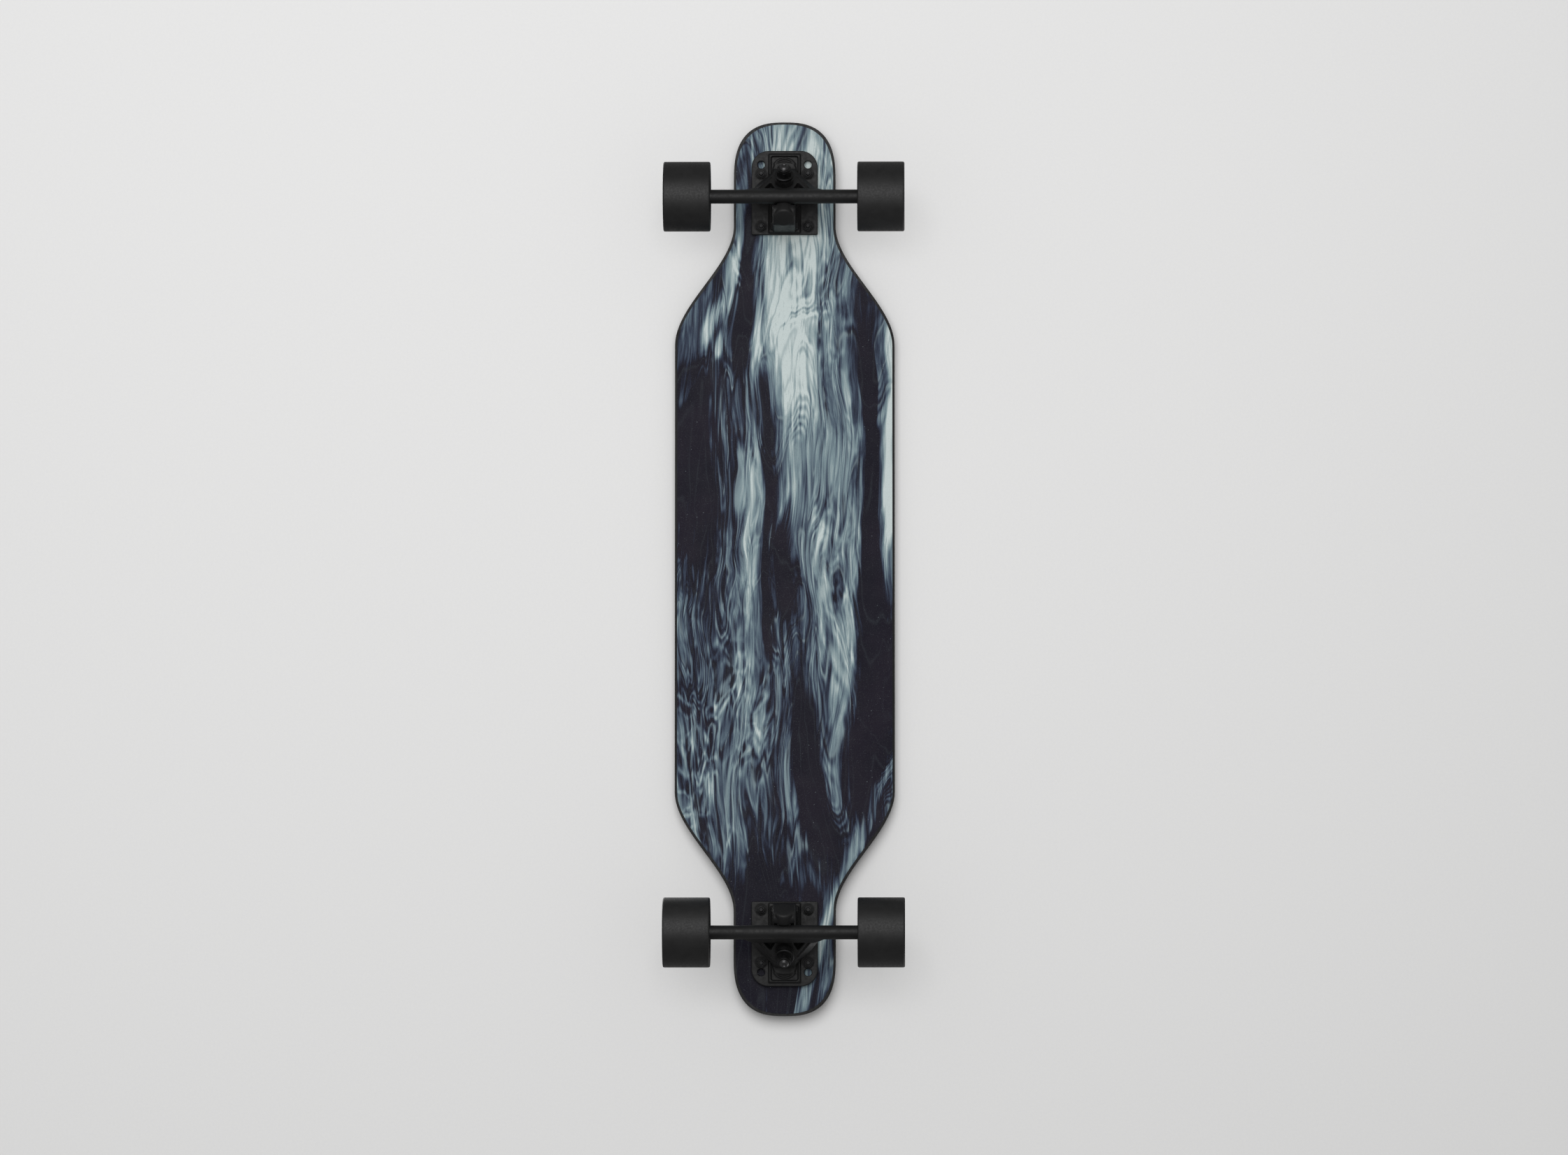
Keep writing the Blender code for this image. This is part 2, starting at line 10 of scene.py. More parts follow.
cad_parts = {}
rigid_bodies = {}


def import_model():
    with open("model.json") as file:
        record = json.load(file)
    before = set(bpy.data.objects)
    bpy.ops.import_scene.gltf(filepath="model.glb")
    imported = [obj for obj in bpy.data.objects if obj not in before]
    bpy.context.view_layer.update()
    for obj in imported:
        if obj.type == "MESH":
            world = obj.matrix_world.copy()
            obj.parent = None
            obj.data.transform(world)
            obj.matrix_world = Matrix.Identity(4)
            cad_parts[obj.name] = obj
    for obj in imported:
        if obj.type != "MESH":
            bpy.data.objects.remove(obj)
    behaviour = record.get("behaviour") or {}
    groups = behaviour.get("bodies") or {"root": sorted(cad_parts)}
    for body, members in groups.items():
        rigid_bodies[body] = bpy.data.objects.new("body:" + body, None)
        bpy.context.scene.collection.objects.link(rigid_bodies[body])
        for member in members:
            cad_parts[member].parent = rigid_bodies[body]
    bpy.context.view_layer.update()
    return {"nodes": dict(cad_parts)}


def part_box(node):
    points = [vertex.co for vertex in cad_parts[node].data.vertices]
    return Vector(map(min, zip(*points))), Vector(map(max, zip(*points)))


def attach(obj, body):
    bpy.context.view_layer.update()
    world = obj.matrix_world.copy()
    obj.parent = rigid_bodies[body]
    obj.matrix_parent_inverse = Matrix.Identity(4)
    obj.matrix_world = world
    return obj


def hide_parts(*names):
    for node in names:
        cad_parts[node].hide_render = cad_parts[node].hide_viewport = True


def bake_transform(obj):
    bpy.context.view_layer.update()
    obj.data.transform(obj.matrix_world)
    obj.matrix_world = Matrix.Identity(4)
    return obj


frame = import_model()
NODES = frame["nodes"]
MM = 0.001

# ------------------------------------------------------------------ sizes, from the CAD's own boxes
deck_low, deck_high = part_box("deck")
DECK_HALF_LENGTH = deck_high.x / MM
DECK_HALF_WIDTH = deck_high.y / MM
NECK_HALF_WIDTH = 52.0
DECK_BOTTOM = deck_low.z / MM
DECK_THICKNESS = 11.0
CUT_OUT_CENTRE, CUT_OUT_LENGTH = 289.8, 122.0
NOSE_CAP, NOSE_POWER = 60.0, 2.7
CONCAVE, CONCAVE_FULL, CONCAVE_NONE = 6.0, 195.0, 325.0
BASE_CENTRE = 384.3
BASE_LENGTH, BASE_WIDTH, BASE_CORNER = 86.4, 67.7, 17.6
BASE_LOW, BASE_TOP, RIB_TOP, RIB_WIDTH = 0.9, 7.0, 9.4, 31.7
BOLT_IN, BOLT_OUT, HOLE_OUT, BOLT_SIDE = -34.6, 19.4, 28.9, 23.9
LEAN = math.radians(42.0)
SIN, COS = math.sin(LEAN), math.cos(LEAN)
RING_X, RING_DROP, RING_HALF = 4.8, 31.0, 4.5
AXLE_X, AXLE_DROP = -9.8, 60.0
WHEEL_CENTRE, WHEEL_RADIUS, WHEEL_WIDTH = 98.7, 35.5, 48.0
SEAT = -19.2
STEPS = 64

KINGPIN_TURN = Vector((SIN, 0, -COS)).to_track_quat("Z", "Y").to_matrix().to_4x4()
STEM_TURN = Vector((-COS, 0, -SIN)).to_track_quat("Z", "Y").to_matrix().to_4x4()
CROSS_TURN = Matrix.Rotation(math.radians(-90), 4, "X")
RING_AT = Vector((RING_X, 0, -RING_DROP)) * MM
AXLE_AT = Vector((AXLE_X, 0, -AXLE_DROP)) * MM
TRUCKS = {
    "front": Matrix.Translation((BASE_CENTRE * MM, 0, DECK_BOTTOM * MM)),
    "rear": Matrix.Translation((-BASE_CENTRE * MM, 0, DECK_BOTTOM * MM))
    @ Matrix.Rotation(math.pi, 4, "Z"),
}
ON_KINGPIN = Matrix.Translation(RING_AT) @ KINGPIN_TURN
ON_STEM = Matrix.Translation(RING_AT) @ STEM_TURN
ON_AXLE = Matrix.Translation(AXLE_AT) @ CROSS_TURN


# ------------------------------------------------------------------ node helper
class Nodes:
    """Builds a procedural material: every value is a float, a tuple or another node's output."""

    def __init__(self, name):
        self.material = bpy.data.materials.new(name)
        self.material.use_nodes = True
        self.tree = self.material.node_tree
        self.shader = self.tree.nodes["Principled BSDF"]
        self.coords = self.tree.nodes.new("ShaderNodeTexCoord")
        self.here = self.coords.outputs["Object"]

    def set(self, socket, value):
        if isinstance(value, bpy.types.NodeSocket):
            self.tree.links.new(value, socket)
        elif isinstance(value, (tuple, list)) and socket.type == "RGBA" and len(value) == 3:
            socket.default_value = (*value, 1.0)
        else:
            socket.default_value = value

    def node(self, kind, **inputs):
        made = self.tree.nodes.new(kind)
        for key, value in inputs.items():
            self.set(made.inputs[key.replace("_", " ")], value)
        return made

    def math(self, operation, a, b=0.0, c=0.0, clamp=False):
        made = self.tree.nodes.new("ShaderNodeMath")
        made.operation = operation
        made.use_clamp = clamp
        for socket, value in zip(made.inputs, (a, b, c)):
            self.set(socket, value)
        return made.outputs[0]

    def vector(self, operation, a, b=(0, 0, 0), scale=None):
        made = self.tree.nodes.new("ShaderNodeVectorMath")
        made.operation = operation
        self.set(made.inputs[0], a)
        self.set(made.inputs[1], b)
        if scale is not None:
            self.set(made.inputs["Scale"], scale)
        return made.outputs["Value" if operation in ("LENGTH", "DOT_PRODUCT", "DISTANCE") else "Vector"]

    def noise(self, where, scale, detail=2.0, rough=0.5, distortion=0.0, colour=False):
        made = self.tree.nodes.new("ShaderNodeTexNoise")
        self.set(made.inputs["Vector"], where)
        made.inputs["Scale"].default_value = scale
        made.inputs["Detail"].default_value = detail
        made.inputs["Roughness"].default_value = rough
        made.inputs["Distortion"].default_value = distortion
        return made.outputs["Color" if colour else "Fac"]

    def voronoi(self, where, scale, feature="DISTANCE_TO_EDGE", randomness=1.0):
        made = self.tree.nodes.new("ShaderNodeTexVoronoi")
        made.feature = feature
        self.set(made.inputs["Vector"], where)
        made.inputs["Scale"].default_value = scale
        made.inputs["Randomness"].default_value = randomness
        return made.outputs["Distance"]

    def range(self, value, low, high, to_low=0.0, to_high=1.0, smooth=True):
        made = self.tree.nodes.new("ShaderNodeMapRange")
        made.interpolation_type = "SMOOTHSTEP" if smooth else "LINEAR"
        for key, v in (("Value", value), ("From Min", low), ("From Max", high), ("To Min", to_low), ("To Max", to_high)):
            self.set(made.inputs[key], v)
        return made.outputs["Result"]

    def ramp(self, value, stops, easing="EASE"):
        made = self.tree.nodes.new("ShaderNodeValToRGB")
        made.color_ramp.interpolation = easing
        elements = made.color_ramp.elements
        while len(elements) < len(stops):
            elements.new(0.5)
        for element, (position, colour) in zip(elements, stops):
            element.position = position
            element.color = (*colour, 1.0)
        self.set(made.inputs["Fac"], value)
        return made.outputs["Color"]

    def mix(self, factor, a, b, blend="MIX"):
        made = self.tree.nodes.new("ShaderNodeMix")
        made.data_type = "RGBA"
        made.blend_type = blend
        made.clamp_factor = True
        self.set(made.inputs["Factor"], factor)
        self.set(made.inputs[6], a)
        self.set(made.inputs[7], b)
        return made.outputs[2]

    def xyz(self, where=None):
        made = self.tree.nodes.new("ShaderNodeSeparateXYZ")
        self.set(made.inputs[0], self.here if where is None else where)
        return made.outputs

    def combine(self, x, y, z):
        made = self.tree.nodes.new("ShaderNodeCombineXYZ")
        for socket, value in zip(made.inputs, (x, y, z)):
            self.set(socket, value)
        return made.outputs[0]

    def bump(self, height, strength, distance):
        made = self.tree.nodes.new("ShaderNodeBump")
        made.inputs["Strength"].default_value = strength
        made.inputs["Distance"].default_value = distance
        self.set(made.inputs["Height"], height)
        return made.outputs["Normal"]

    def finish(self, colour, rough, metallic=0.0, normal=None, **fixed):
        self.set(self.shader.inputs["Base Color"], colour)
        self.set(self.shader.inputs["Roughness"], rough)
        self.shader.inputs["Metallic"].default_value = metallic
        if normal is not None:
            self.set(self.shader.inputs["Normal"], normal)
        for key, value in fixed.items():
            self.shader.inputs[key.replace("_", " ")].default_value = value
        return self.material


# ------------------------------------------------------------------ materials
INK = (0.0066, 0.0056, 0.0125)
NAVY = (0.0125, 0.0150, 0.0310)
SLATE = (0.036, 0.051, 0.084)
STEEL_BLUE = (0.090, 0.129, 0.168)
TEAL_GREY = (0.200, 0.276, 0.305)
PALE = (0.400, 0.480, 0.485)
MILK = (0.560, 0.635, 0.630)

# A pour laid along the board: where the paint runs light (+) or dark (-), as
# (x, y, half length, half width, slant, weight), in metres.
POUR = [
    (0.300, 0.002, 0.160, 0.037, -0.03, 0.40),
    (0.170, 0.010, 0.150, 0.021, -0.03, 0.32),
    (0.400, 0.030, 0.080, 0.028, 0.00, 0.36),
    (0.260, 0.064, 0.110, 0.022, 0.00, 0.20),
    (0.040, 0.052, 0.200, 0.028, 0.00, 0.20),
    (-0.150, 0.058, 0.130, 0.018, 0.02, 0.12),
    (0.140, 0.109, 0.150, 0.010, 0.00, 0.60),
    (0.265, -0.078, 0.026, 0.009, 0.30, 0.42),
    (0.243, -0.064, 0.018, 0.005, 0.20, 0.46),
    (0.300, -0.058, 0.040, 0.006, 0.12, 0.40),
    (0.240, -0.026, 0.040, 0.006, 0.00, 0.46),
    (0.045, -0.038, 0.120, 0.009, 0.03, 0.22),
    (-0.130, -0.046, 0.130, 0.013, 0.06, 0.16),
    (-0.170, -0.018, 0.090, 0.024, 0.00, 0.08),
    (-0.190, -0.085, 0.090, 0.026, 0.10, 0.06),
    (-0.262, -0.050, 0.060, 0.040, -0.20, 0.10),
    (-0.245, 0.087, 0.075, 0.009, 0.42, 0.40),
    (-0.400, 0.028, 0.080, 0.010, 0.34, 0.40),
    (0.405, -0.030, 0.060, 0.016, 0.00, 0.14),
    (0.105, -0.092, 0.130, 0.026, 0.00, -0.42),
    (0.300, -0.042, 0.120, 0.007, 0.00, -0.52),
    (0.080, -0.021, 0.220, 0.005, -0.02, -0.40),
    (0.100, 0.087, 0.250, 0.009, -0.02, -0.52),
    (-0.130, 0.090, 0.170, 0.022, 0.02, -0.50),
    (0.000, 0.001, 0.060, 0.013, 0.00, -0.42),
    (-0.205, 0.022, 0.080, 0.018, -0.16, -0.50),
    (-0.270, 0.040, 0.060, 0.024, 0.00, -0.26),
    (-0.400, -0.020, 0.120, 0.060, 0.00, -0.42),
]


def print_material():
    m = Nodes("marbled_print")
    # Slow bends first, then the finer drag of one colour through another.
    long = m.vector("MULTIPLY", m.here, (1.0, 2.0, 1.0))
    slow = m.vector("SUBTRACT", m.noise(long, 6.0, 1.0, 0.45, colour=True), (0.5, 0.5, 0.5))
    bent = m.vector("ADD", m.here, m.vector("MULTIPLY", slow, (0.075, 0.034, 0.0)))
    long2 = m.vector("MULTIPLY", bent, (1.0, 5.0, 1.0))
    fast = m.vector("SUBTRACT", m.noise(long2, 11.0, 1.5, 0.5, colour=True), (0.5, 0.5, 0.5))
    bent2 = m.vector("ADD", bent, m.vector("MULTIPLY", fast, (0.060, 0.013, 0.0)))
    tone = 0.445
    for x, y, half_length, half_width, slant, weight in POUR:
        parts = m.xyz(m.vector("SUBTRACT", bent2, (x, y, 0)))
        across = m.math("MULTIPLY_ADD", parts[0], -slant, parts[1])
        spot = m.combine(m.math("MULTIPLY", parts[0], 1 / half_length), m.math("MULTIPLY", across, 1 / half_width), 0.0)
        share = m.range(m.vector("LENGTH", spot), 1.35, 0.40)
        tone = m.math("MULTIPLY_ADD", share, weight, tone)

    # Threads of paint drawn out along the board, at three widths.
    def drawn(across, along, detail, distortion, weight, tone):
        grain = m.noise(m.vector("MULTIPLY", bent2, (along, across, 1.0)), 1.0, detail, 0.6, distortion)
        return m.math("MULTIPLY_ADD", m.math("SUBTRACT", grain, 0.5), weight, tone)

    tone = drawn(24.0, 3.4, 2.0, 0.9, 0.56, tone)
    tone = drawn(105.0, 7.0, 4.0, 0.8, 0.96, tone)
    tone = drawn(330.0, 20.0, 4.0, 0.6, 0.92, tone)

    # Lines like an agate's: nested loops where the paint folded, close together and fine.
    fold = m.noise(m.vector("MULTIPLY", bent2, (3.2, 17.0, 1.0)), 1.0, 2.0, 0.42, 1.0)
    for count, weight, where_scale in ((88.0, 0.105, 7.0), (230.0, 0.085, 13.0)):
        wave = m.math("SINE", m.math("MULTIPLY", fold, count))
        shown = m.range(m.noise(m.vector("MULTIPLY", bent, (1.0, 2.0, 1.0)), where_scale, 1.0), 0.40, 0.58, 0.15, 1.0)
        tone = m.math("MULTIPLY_ADD", m.math("MULTIPLY", wave, shown), weight, tone)
    crest = m.math("POWER", m.math("MULTIPLY_ADD", m.math("SINE", m.math("MULTIPLY", fold, 96.0)), 0.5, 0.5), 22.0)

    # Cells, pulled long, with a soft pale net round each.
    cell_at = m.vector("MULTIPLY", m.vector("ADD", bent2, m.vector("MULTIPLY", fast, (0.010, 0.006, 0.0))), (0.42, 1.0, 1.0))
    net = m.range(m.voronoi(cell_at, 120.0), 0.0, 0.30, 1.0, 0.0)
    low_left = m.math("MULTIPLY", m.range(m.xyz(bent)[0], 0.02, -0.14), m.range(m.xyz(bent)[1], 0.020, -0.040))
    mid_right = m.math("MULTIPLY", m.range(m.xyz(bent)[0], -0.14, 0.00, 0.0, 0.55), m.range(m.math("ABSOLUTE", m.math("SUBTRACT", m.xyz(bent)[1], 0.050)), 0.032, 0.012))
    patch = m.range(m.noise(m.vector("MULTIPLY", m.here, (1.0, 1.8, 1.0)), 16.0, 2.0), 0.40, 0.58, 0.1, 1.0)
    cells = m.math("MULTIPLY", m.math("MAXIMUM", low_left, mid_right), patch)
    tone = m.math("MULTIPLY_ADD", m.math("MULTIPLY", m.math("SUBTRACT", net, 0.36), cells), 0.28, tone)

    colour = m.ramp(
        tone,
        [
            (0.0, INK),
            (0.27, INK),
            (0.37, NAVY),
            (0.48, SLATE),
            (0.60, STEEL_BLUE),
            (0.74, TEAL_GREY),
            (0.90, PALE),
            (1.0, MILK),
        ],
        "LINEAR",
    )
    colour = m.mix(m.math("MULTIPLY", crest, m.range(tone, 0.34, 0.56, 0.03, 0.50)), colour, (0.26, 0.34, 0.36))
    violet = m.range(m.noise(bent, 11.0, 2.0), 0.44, 0.62, 0.0, 0.65)
    colour = m.mix(m.math("MULTIPLY", violet, m.range(tone, 0.52, 0.25)), colour, (0.0125, 0.0092, 0.0180))
    specks = m.range(m.noise(m.here, 1900.0, 1.0, 0.5), 0.62, 0.80, 0.0, 0.20)
    colour = m.mix(specks, colour, (0.33, 0.38, 0.40))
    stars = m.range(m.voronoi(m.here, 190.0, "F1"), 0.075, 0.03, 0.0, 0.7)
    colour = m.mix(m.math("MULTIPLY", stars, m.range(m.noise(m.here, 24.0, 1.0), 0.54, 0.60)), colour, (0.30, 0.36, 0.38))
    grime = m.noise(m.here, 1500.0, 1.0, 0.5)
    colour = m.mix(m.range(grime, 0.44, 0.20, 0.0, 0.30), colour, INK)
    rough = m.range(m.noise(m.here, 60.0, 3.0), 0.3, 0.7, 0.40, 0.50, smooth=False)
    skin = m.bump(m.noise(m.here, 900.0, 2.0), 0.12, 0.0002)
    return m.finish(colour, rough, normal=skin, Specular_IOR_Level=0.07)


def deck_material():
    """Black-stained maple: eight plies show faintly on the edge, with grain along the board."""
    m = Nodes("stained_maple_plies")
    x, y, z = m.xyz()
    fade = m.range(m.math("ABSOLUTE", x), CONCAVE_FULL * MM, CONCAVE_NONE * MM, 1.0, 0.0)
    rise = m.math("MULTIPLY", m.math("MULTIPLY", m.math("MULTIPLY", y, y), CONCAVE * MM / (DECK_HALF_WIDTH * MM) ** 2), fade)
    level = m.math("DIVIDE", m.math("SUBTRACT", m.math("SUBTRACT", z, DECK_BOTTOM * MM), rise), DECK_THICKNESS * MM / 8)
    inside = m.math("FRACT", level)
    glue = m.math("MAXIMUM", m.range(inside, 0.10, 0.0), m.range(inside, 0.90, 1.0))
    ply = m.math("FRACT", m.math("MULTIPLY", m.math("FLOOR", level), 0.618))
    grain = m.noise(m.vector("MULTIPLY", m.here, (40.0, 260.0, 2600.0)), 1.0, 4.0, 0.6, 0.4)
    value = m.math("ADD", m.math("MULTIPLY", ply, 0.34), m.math("MULTIPLY", grain, 0.5))
    colour = m.ramp(value, [(0.15, (0.0030, 0.0029, 0.0030)), (0.5, (0.0070, 0.0062, 0.0060)), (0.85, (0.015, 0.0128, 0.0118))])
    colour = m.mix(m.math("MULTIPLY", glue, 0.75), colour, (0.0030, 0.0030, 0.0032))
    height = m.math("SUBTRACT", m.math("MULTIPLY", grain, 0.4), glue)
    return m.finish(colour, m.range(grain, 0.3, 0.7, 0.34, 0.52), normal=m.bump(height, 0.35, 0.00015), Specular_IOR_Level=0.18)


def grip_material():
    m = Nodes("grip_tape_grit")
    grit = m.voronoi(m.here, 1500.0, "F1")
    coarse = m.noise(m.here, 420.0, 3.0, 0.6)
    worn = m.noise(m.vector("MULTIPLY", m.here, (1.0, 1.6, 1.0)), 7.0, 3.0, 0.55)
    colour = m.mix(m.range(grit, 0.55, 0.10, 0.0, 0.75), (0.0050, 0.0050, 0.0054), (0.046, 0.046, 0.050))
    glint = m.range(m.noise(m.here, 3300.0, 0.0), 0.70, 0.80)
    colour = m.mix(m.math("MULTIPLY", glint, 0.5), colour, (0.21, 0.21, 0.23))
    colour = m.mix(m.range(worn, 0.52, 0.72, 0.0, 0.35), colour, (0.034, 0.033, 0.034))
    height = m.math("ADD", m.math("MULTIPLY", grit, -1.0), m.math("MULTIPLY", coarse, 0.5))
    return m.finish(colour, m.range(grit, 0.1, 0.6, 0.62, 0.95), normal=m.bump(height, 0.9, 0.0004), Specular_IOR_Level=0.35)


def casting_material():
    """Satin black paint over a sand-cast skin: fine orange peel, slow tone changes, a few rubs."""
    m = Nodes("satin_black_casting")
    peel = m.noise(m.here, 900.0, 3.0, 0.55)
    cast = m.noise(m.here, 260.0, 4.0, 0.6)
    slow = m.noise(m.here, 38.0, 3.0, 0.5)
    colour = m.ramp(slow, [(0.3, (0.0052, 0.0052, 0.0055)), (0.7, (0.0090, 0.0090, 0.0094))])
    rub = m.range(m.noise(m.vector("MULTIPLY", m.here, (1.0, 3.0, 1.0)), 130.0, 5.0, 0.7), 0.66, 0.74, 0.0, 0.5)
    colour = m.mix(rub, colour, (0.020, 0.020, 0.0205))
    rough = m.range(cast, 0.35, 0.65, 0.46, 0.60, smooth=False)
    height = m.math("ADD", m.math("MULTIPLY", peel, 0.45), m.math("MULTIPLY", cast, 0.7))
    return m.finish(colour, rough, normal=m.bump(height, 0.20, 0.00022), Specular_IOR_Level=0.24)


def urethane_material():
    """Matt black urethane, scuffed round the tread."""
    m = Nodes("matt_black_urethane")
    x, y, z = m.xyz()
    scuff = m.noise(m.vector("MULTIPLY", m.here, (520.0, 60.0, 520.0)), 1.0, 4.0, 0.65)
    dust = m.noise(m.here, 95.0, 4.0, 0.6)
    pores = m.voronoi(m.here, 900.0, "F1")
    colour = m.ramp(dust, [(0.30, (0.0058, 0.0058, 0.0060)), (0.70, (0.0092, 0.0092, 0.0095))])
    colour = m.mix(m.range(scuff, 0.60, 0.78, 0.0, 0.30), colour, (0.019, 0.019, 0.0195))
    rough = m.range(scuff, 0.35, 0.65, 0.46, 0.60, smooth=False)
    height = m.math("ADD", m.math("MULTIPLY", scuff, 0.6), m.math("MULTIPLY", pores, 0.3))
    return m.finish(colour, rough, normal=m.bump(height, 0.16, 0.0002), Specular_IOR_Level=0.30)


def plastic_material(name, dark, light, rough):
    m = Nodes(name)
    grain = m.noise(m.here, 1100.0, 3.0, 0.6)
    cloud = m.noise(m.here, 75.0, 3.0, 0.5)
    colour = m.ramp(cloud, [(0.3, dark), (0.7, light)])
    return m.finish(colour, m.range(cloud, 0.3, 0.7, rough - 0.05, rough + 0.07, smooth=False), normal=m.bump(grain, 0.18, 0.0001))


def steel_material(name, dark, light, rough, metallic=1.0, turned=True):
    """Metal with tool marks that run round the part, and a little tarnish."""
    m = Nodes(name)
    marks = m.noise(m.vector("MULTIPLY", m.here, (1.0, 14.0, 1.0)), 420.0, 3.0, 0.6)
    stain = m.noise(m.here, 120.0, 4.0, 0.6)
    colour = m.ramp(stain, [(0.30, dark), (0.72, light)])
    rough_at = m.range(marks, 0.3, 0.7, rough - 0.06, rough + 0.10, smooth=False)
    return m.finish(colour, rough_at, metallic, normal=m.bump(marks, 0.10, 0.00008))


PRINT = print_material()
MAPLE = deck_material()
GRIT = grip_material()
CAST = casting_material()
URETHANE = urethane_material()
CORE = plastic_material("moulded_core", (0.011, 0.011, 0.012), (0.020, 0.020, 0.021), 0.42)
BUSHING = plastic_material("bushing_urethane", (0.0050, 0.0050, 0.0052), (0.0085, 0.0085, 0.0088), 0.42)
ZINC = steel_material("zinc_steel", (0.30, 0.30, 0.31), (0.50, 0.50, 0.52), 0.30)
SHIELD = steel_material("bearing_shield", (0.22, 0.22, 0.23), (0.40, 0.40, 0.42), 0.34)
BLACK_STEEL = steel_material("black_oxide_steel", (0.008, 0.008, 0.0085), (0.022, 0.022, 0.023), 0.50, 0.80)
DARK_STEEL = steel_material("dark_phosphate_steel", (0.036, 0.036, 0.037), (0.085, 0.085, 0.087), 0.40)
NYLON = plastic_material("nylon_insert", (0.020, 0.020, 0.022), (0.035, 0.035, 0.038), 0.5)


# ------------------------------------------------------------------ mesh helpers
def add(name, mesh, mats, matrix=None):
    obj = bpy.data.objects.new(name, mesh)
    bpy.context.scene.collection.objects.link(obj)
    mesh.materials.clear()
    for mat in mats if isinstance(mats, (list, tuple)) else [mats]:
        mesh.materials.append(mat)
    if matrix is not None:
        obj.matrix_world = matrix
    return obj


def shade(mesh, angle=38.0):
    mesh.shade_smooth()
    mesh.set_sharp_from_angle(angle=math.radians(angle))
    return mesh


def rounded(points, radius, steps=4, closed=True):
    """A polyline with its corners turned into arcs; a point may carry its own radius."""
    out = []
    count = len(points)
    for i, point in enumerate(points):
        r = point[2] if len(point) > 2 else radius
        here = Vector(point[:2])
        if not closed and i in (0, count - 1) or r <= 0:
            out.append((here.x, here.y))
            continue
        before = Vector(points[i - 1][:2]) - here
        after = Vector(points[(i + 1) % count][:2]) - here
        reach = min(r, before.length * 0.45, after.length * 0.45)
        a, b = here + before.normalized() * reach, here + after.normalized() * reach
        for k in range(steps + 1):
            t = k / steps
            spot = a * (1 - t) ** 2 + here * 2 * t * (1 - t) + b * t**2
            out.append((spot.x, spot.y))
    return out


def lathe_mesh(name, profile, steps=STEPS):
    """A closed turned mesh about +Z from (radius, height) points in mm, down its outer side."""
    shaped = bmesh.new()
    on_axis = profile[0][0] < 1e-6 and profile[-1][0] < 1e-6
    rings = []
    for r, z in profile:
        if r < 1e-6:
            rings.append([shaped.verts.new((0, 0, z * MM))])
        else:
            rings.append(
                [
                    shaped.verts.new(
                        (r * MM * math.cos(2 * math.pi * i / steps), r * MM * math.sin(2 * math.pi * i / steps), z * MM)
                    )
                    for i in range(steps)
                ]
            )
    pairs = list(zip(rings, rings[1:]))
    if not on_axis:
        pairs.append((rings[-1], rings[0]))
    for a, b in pairs:
        for i in range(steps):
            j = (i + 1) % steps
            if len(a) == 1 and len(b) == 1:
                continue
            if len(a) == 1:
                shaped.faces.new((a[0], b[i], b[j]))
            elif len(b) == 1:
                shaped.faces.new((a[i], b[0], a[j]))
            else:
                shaped.faces.new((a[i], b[i], b[j], a[j]))
    bmesh.ops.recalc_face_normals(shaped, faces=shaped.faces)
    mesh = bpy.data.meshes.new(name)
    shaped.to_mesh(mesh)
    shaped.free()
    return shade(mesh)


def prism_mesh(name, outline, low, high, round_by=0.0, segments=2):
    """An outline in XY (mm) pushed from low to high, its edges rounded."""
    shaped = bmesh.new()
    bottom = [shaped.verts.new((x * MM, y * MM, low * MM)) for x, y in outline]
    face = shaped.faces.new(bottom)
    pushed = bmesh.ops.extrude_face_region(shaped, geom=[face])
    top = [v for v in pushed["geom"] if isinstance(v, bmesh.types.BMVert)]
    bmesh.ops.translate(shaped, verts=top, vec=(0, 0, (high - low) * MM))
    bmesh.ops.recalc_face_normals(shaped, faces=shaped.faces)
    if round_by:
        sharp = [e for e in shaped.edges if len(e.link_faces) == 2 and e.calc_face_angle(0) > math.radians(35)]
        bmesh.ops.bevel(shaped, geom=sharp, offset=round_by * MM, segments=segments, affect="EDGES", profile=0.5)
    mesh = bpy.data.meshes.new(name)
    shaped.to_mesh(mesh)
    shaped.free()
    return mesh


def boolean(obj, other, operation="DIFFERENCE"):
    modifier = obj.modifiers.new(operation, "BOOLEAN")
    modifier.operation = operation
    modifier.object = other
    modifier.solver = "EXACT"


def settle(obj):
    """Puts an object's modifiers and place into its mesh."""
    bpy.context.view_layer.update()
    graph = bpy.context.evaluated_depsgraph_get()
    mesh = bpy.data.meshes.new_from_object(obj.evaluated_get(graph))
    mesh.transform(obj.matrix_world)
    name = obj.name
    bpy.data.objects.remove(obj, do_unlink=True)
    mesh.name = name
    return mesh


def remove(*objs):
    for obj in objs:
        bpy.data.objects.remove(obj, do_unlink=True)


def cast_skin(mesh, name, voxel, smooth_steps, keep):
    """Turns hard-edged solids into one casting: remeshed, its edges and inner corners softened."""
    obj = add(name, mesh, CAST)
    remesh = obj.modifiers.new("Skin", "REMESH")
    remesh.mode = "VOXEL"
    remesh.voxel_size = voxel * MM
    remesh.adaptivity = 0.0
    soften = obj.modifiers.new("Soften", "SMOOTH")
    soften.factor = 0.5
    soften.iterations = smooth_steps
    if keep < 1:
        thin = obj.modifiers.new("Thin", "DECIMATE")
        thin.ratio = keep
    made = settle(obj)
    made.shade_smooth()
    return made


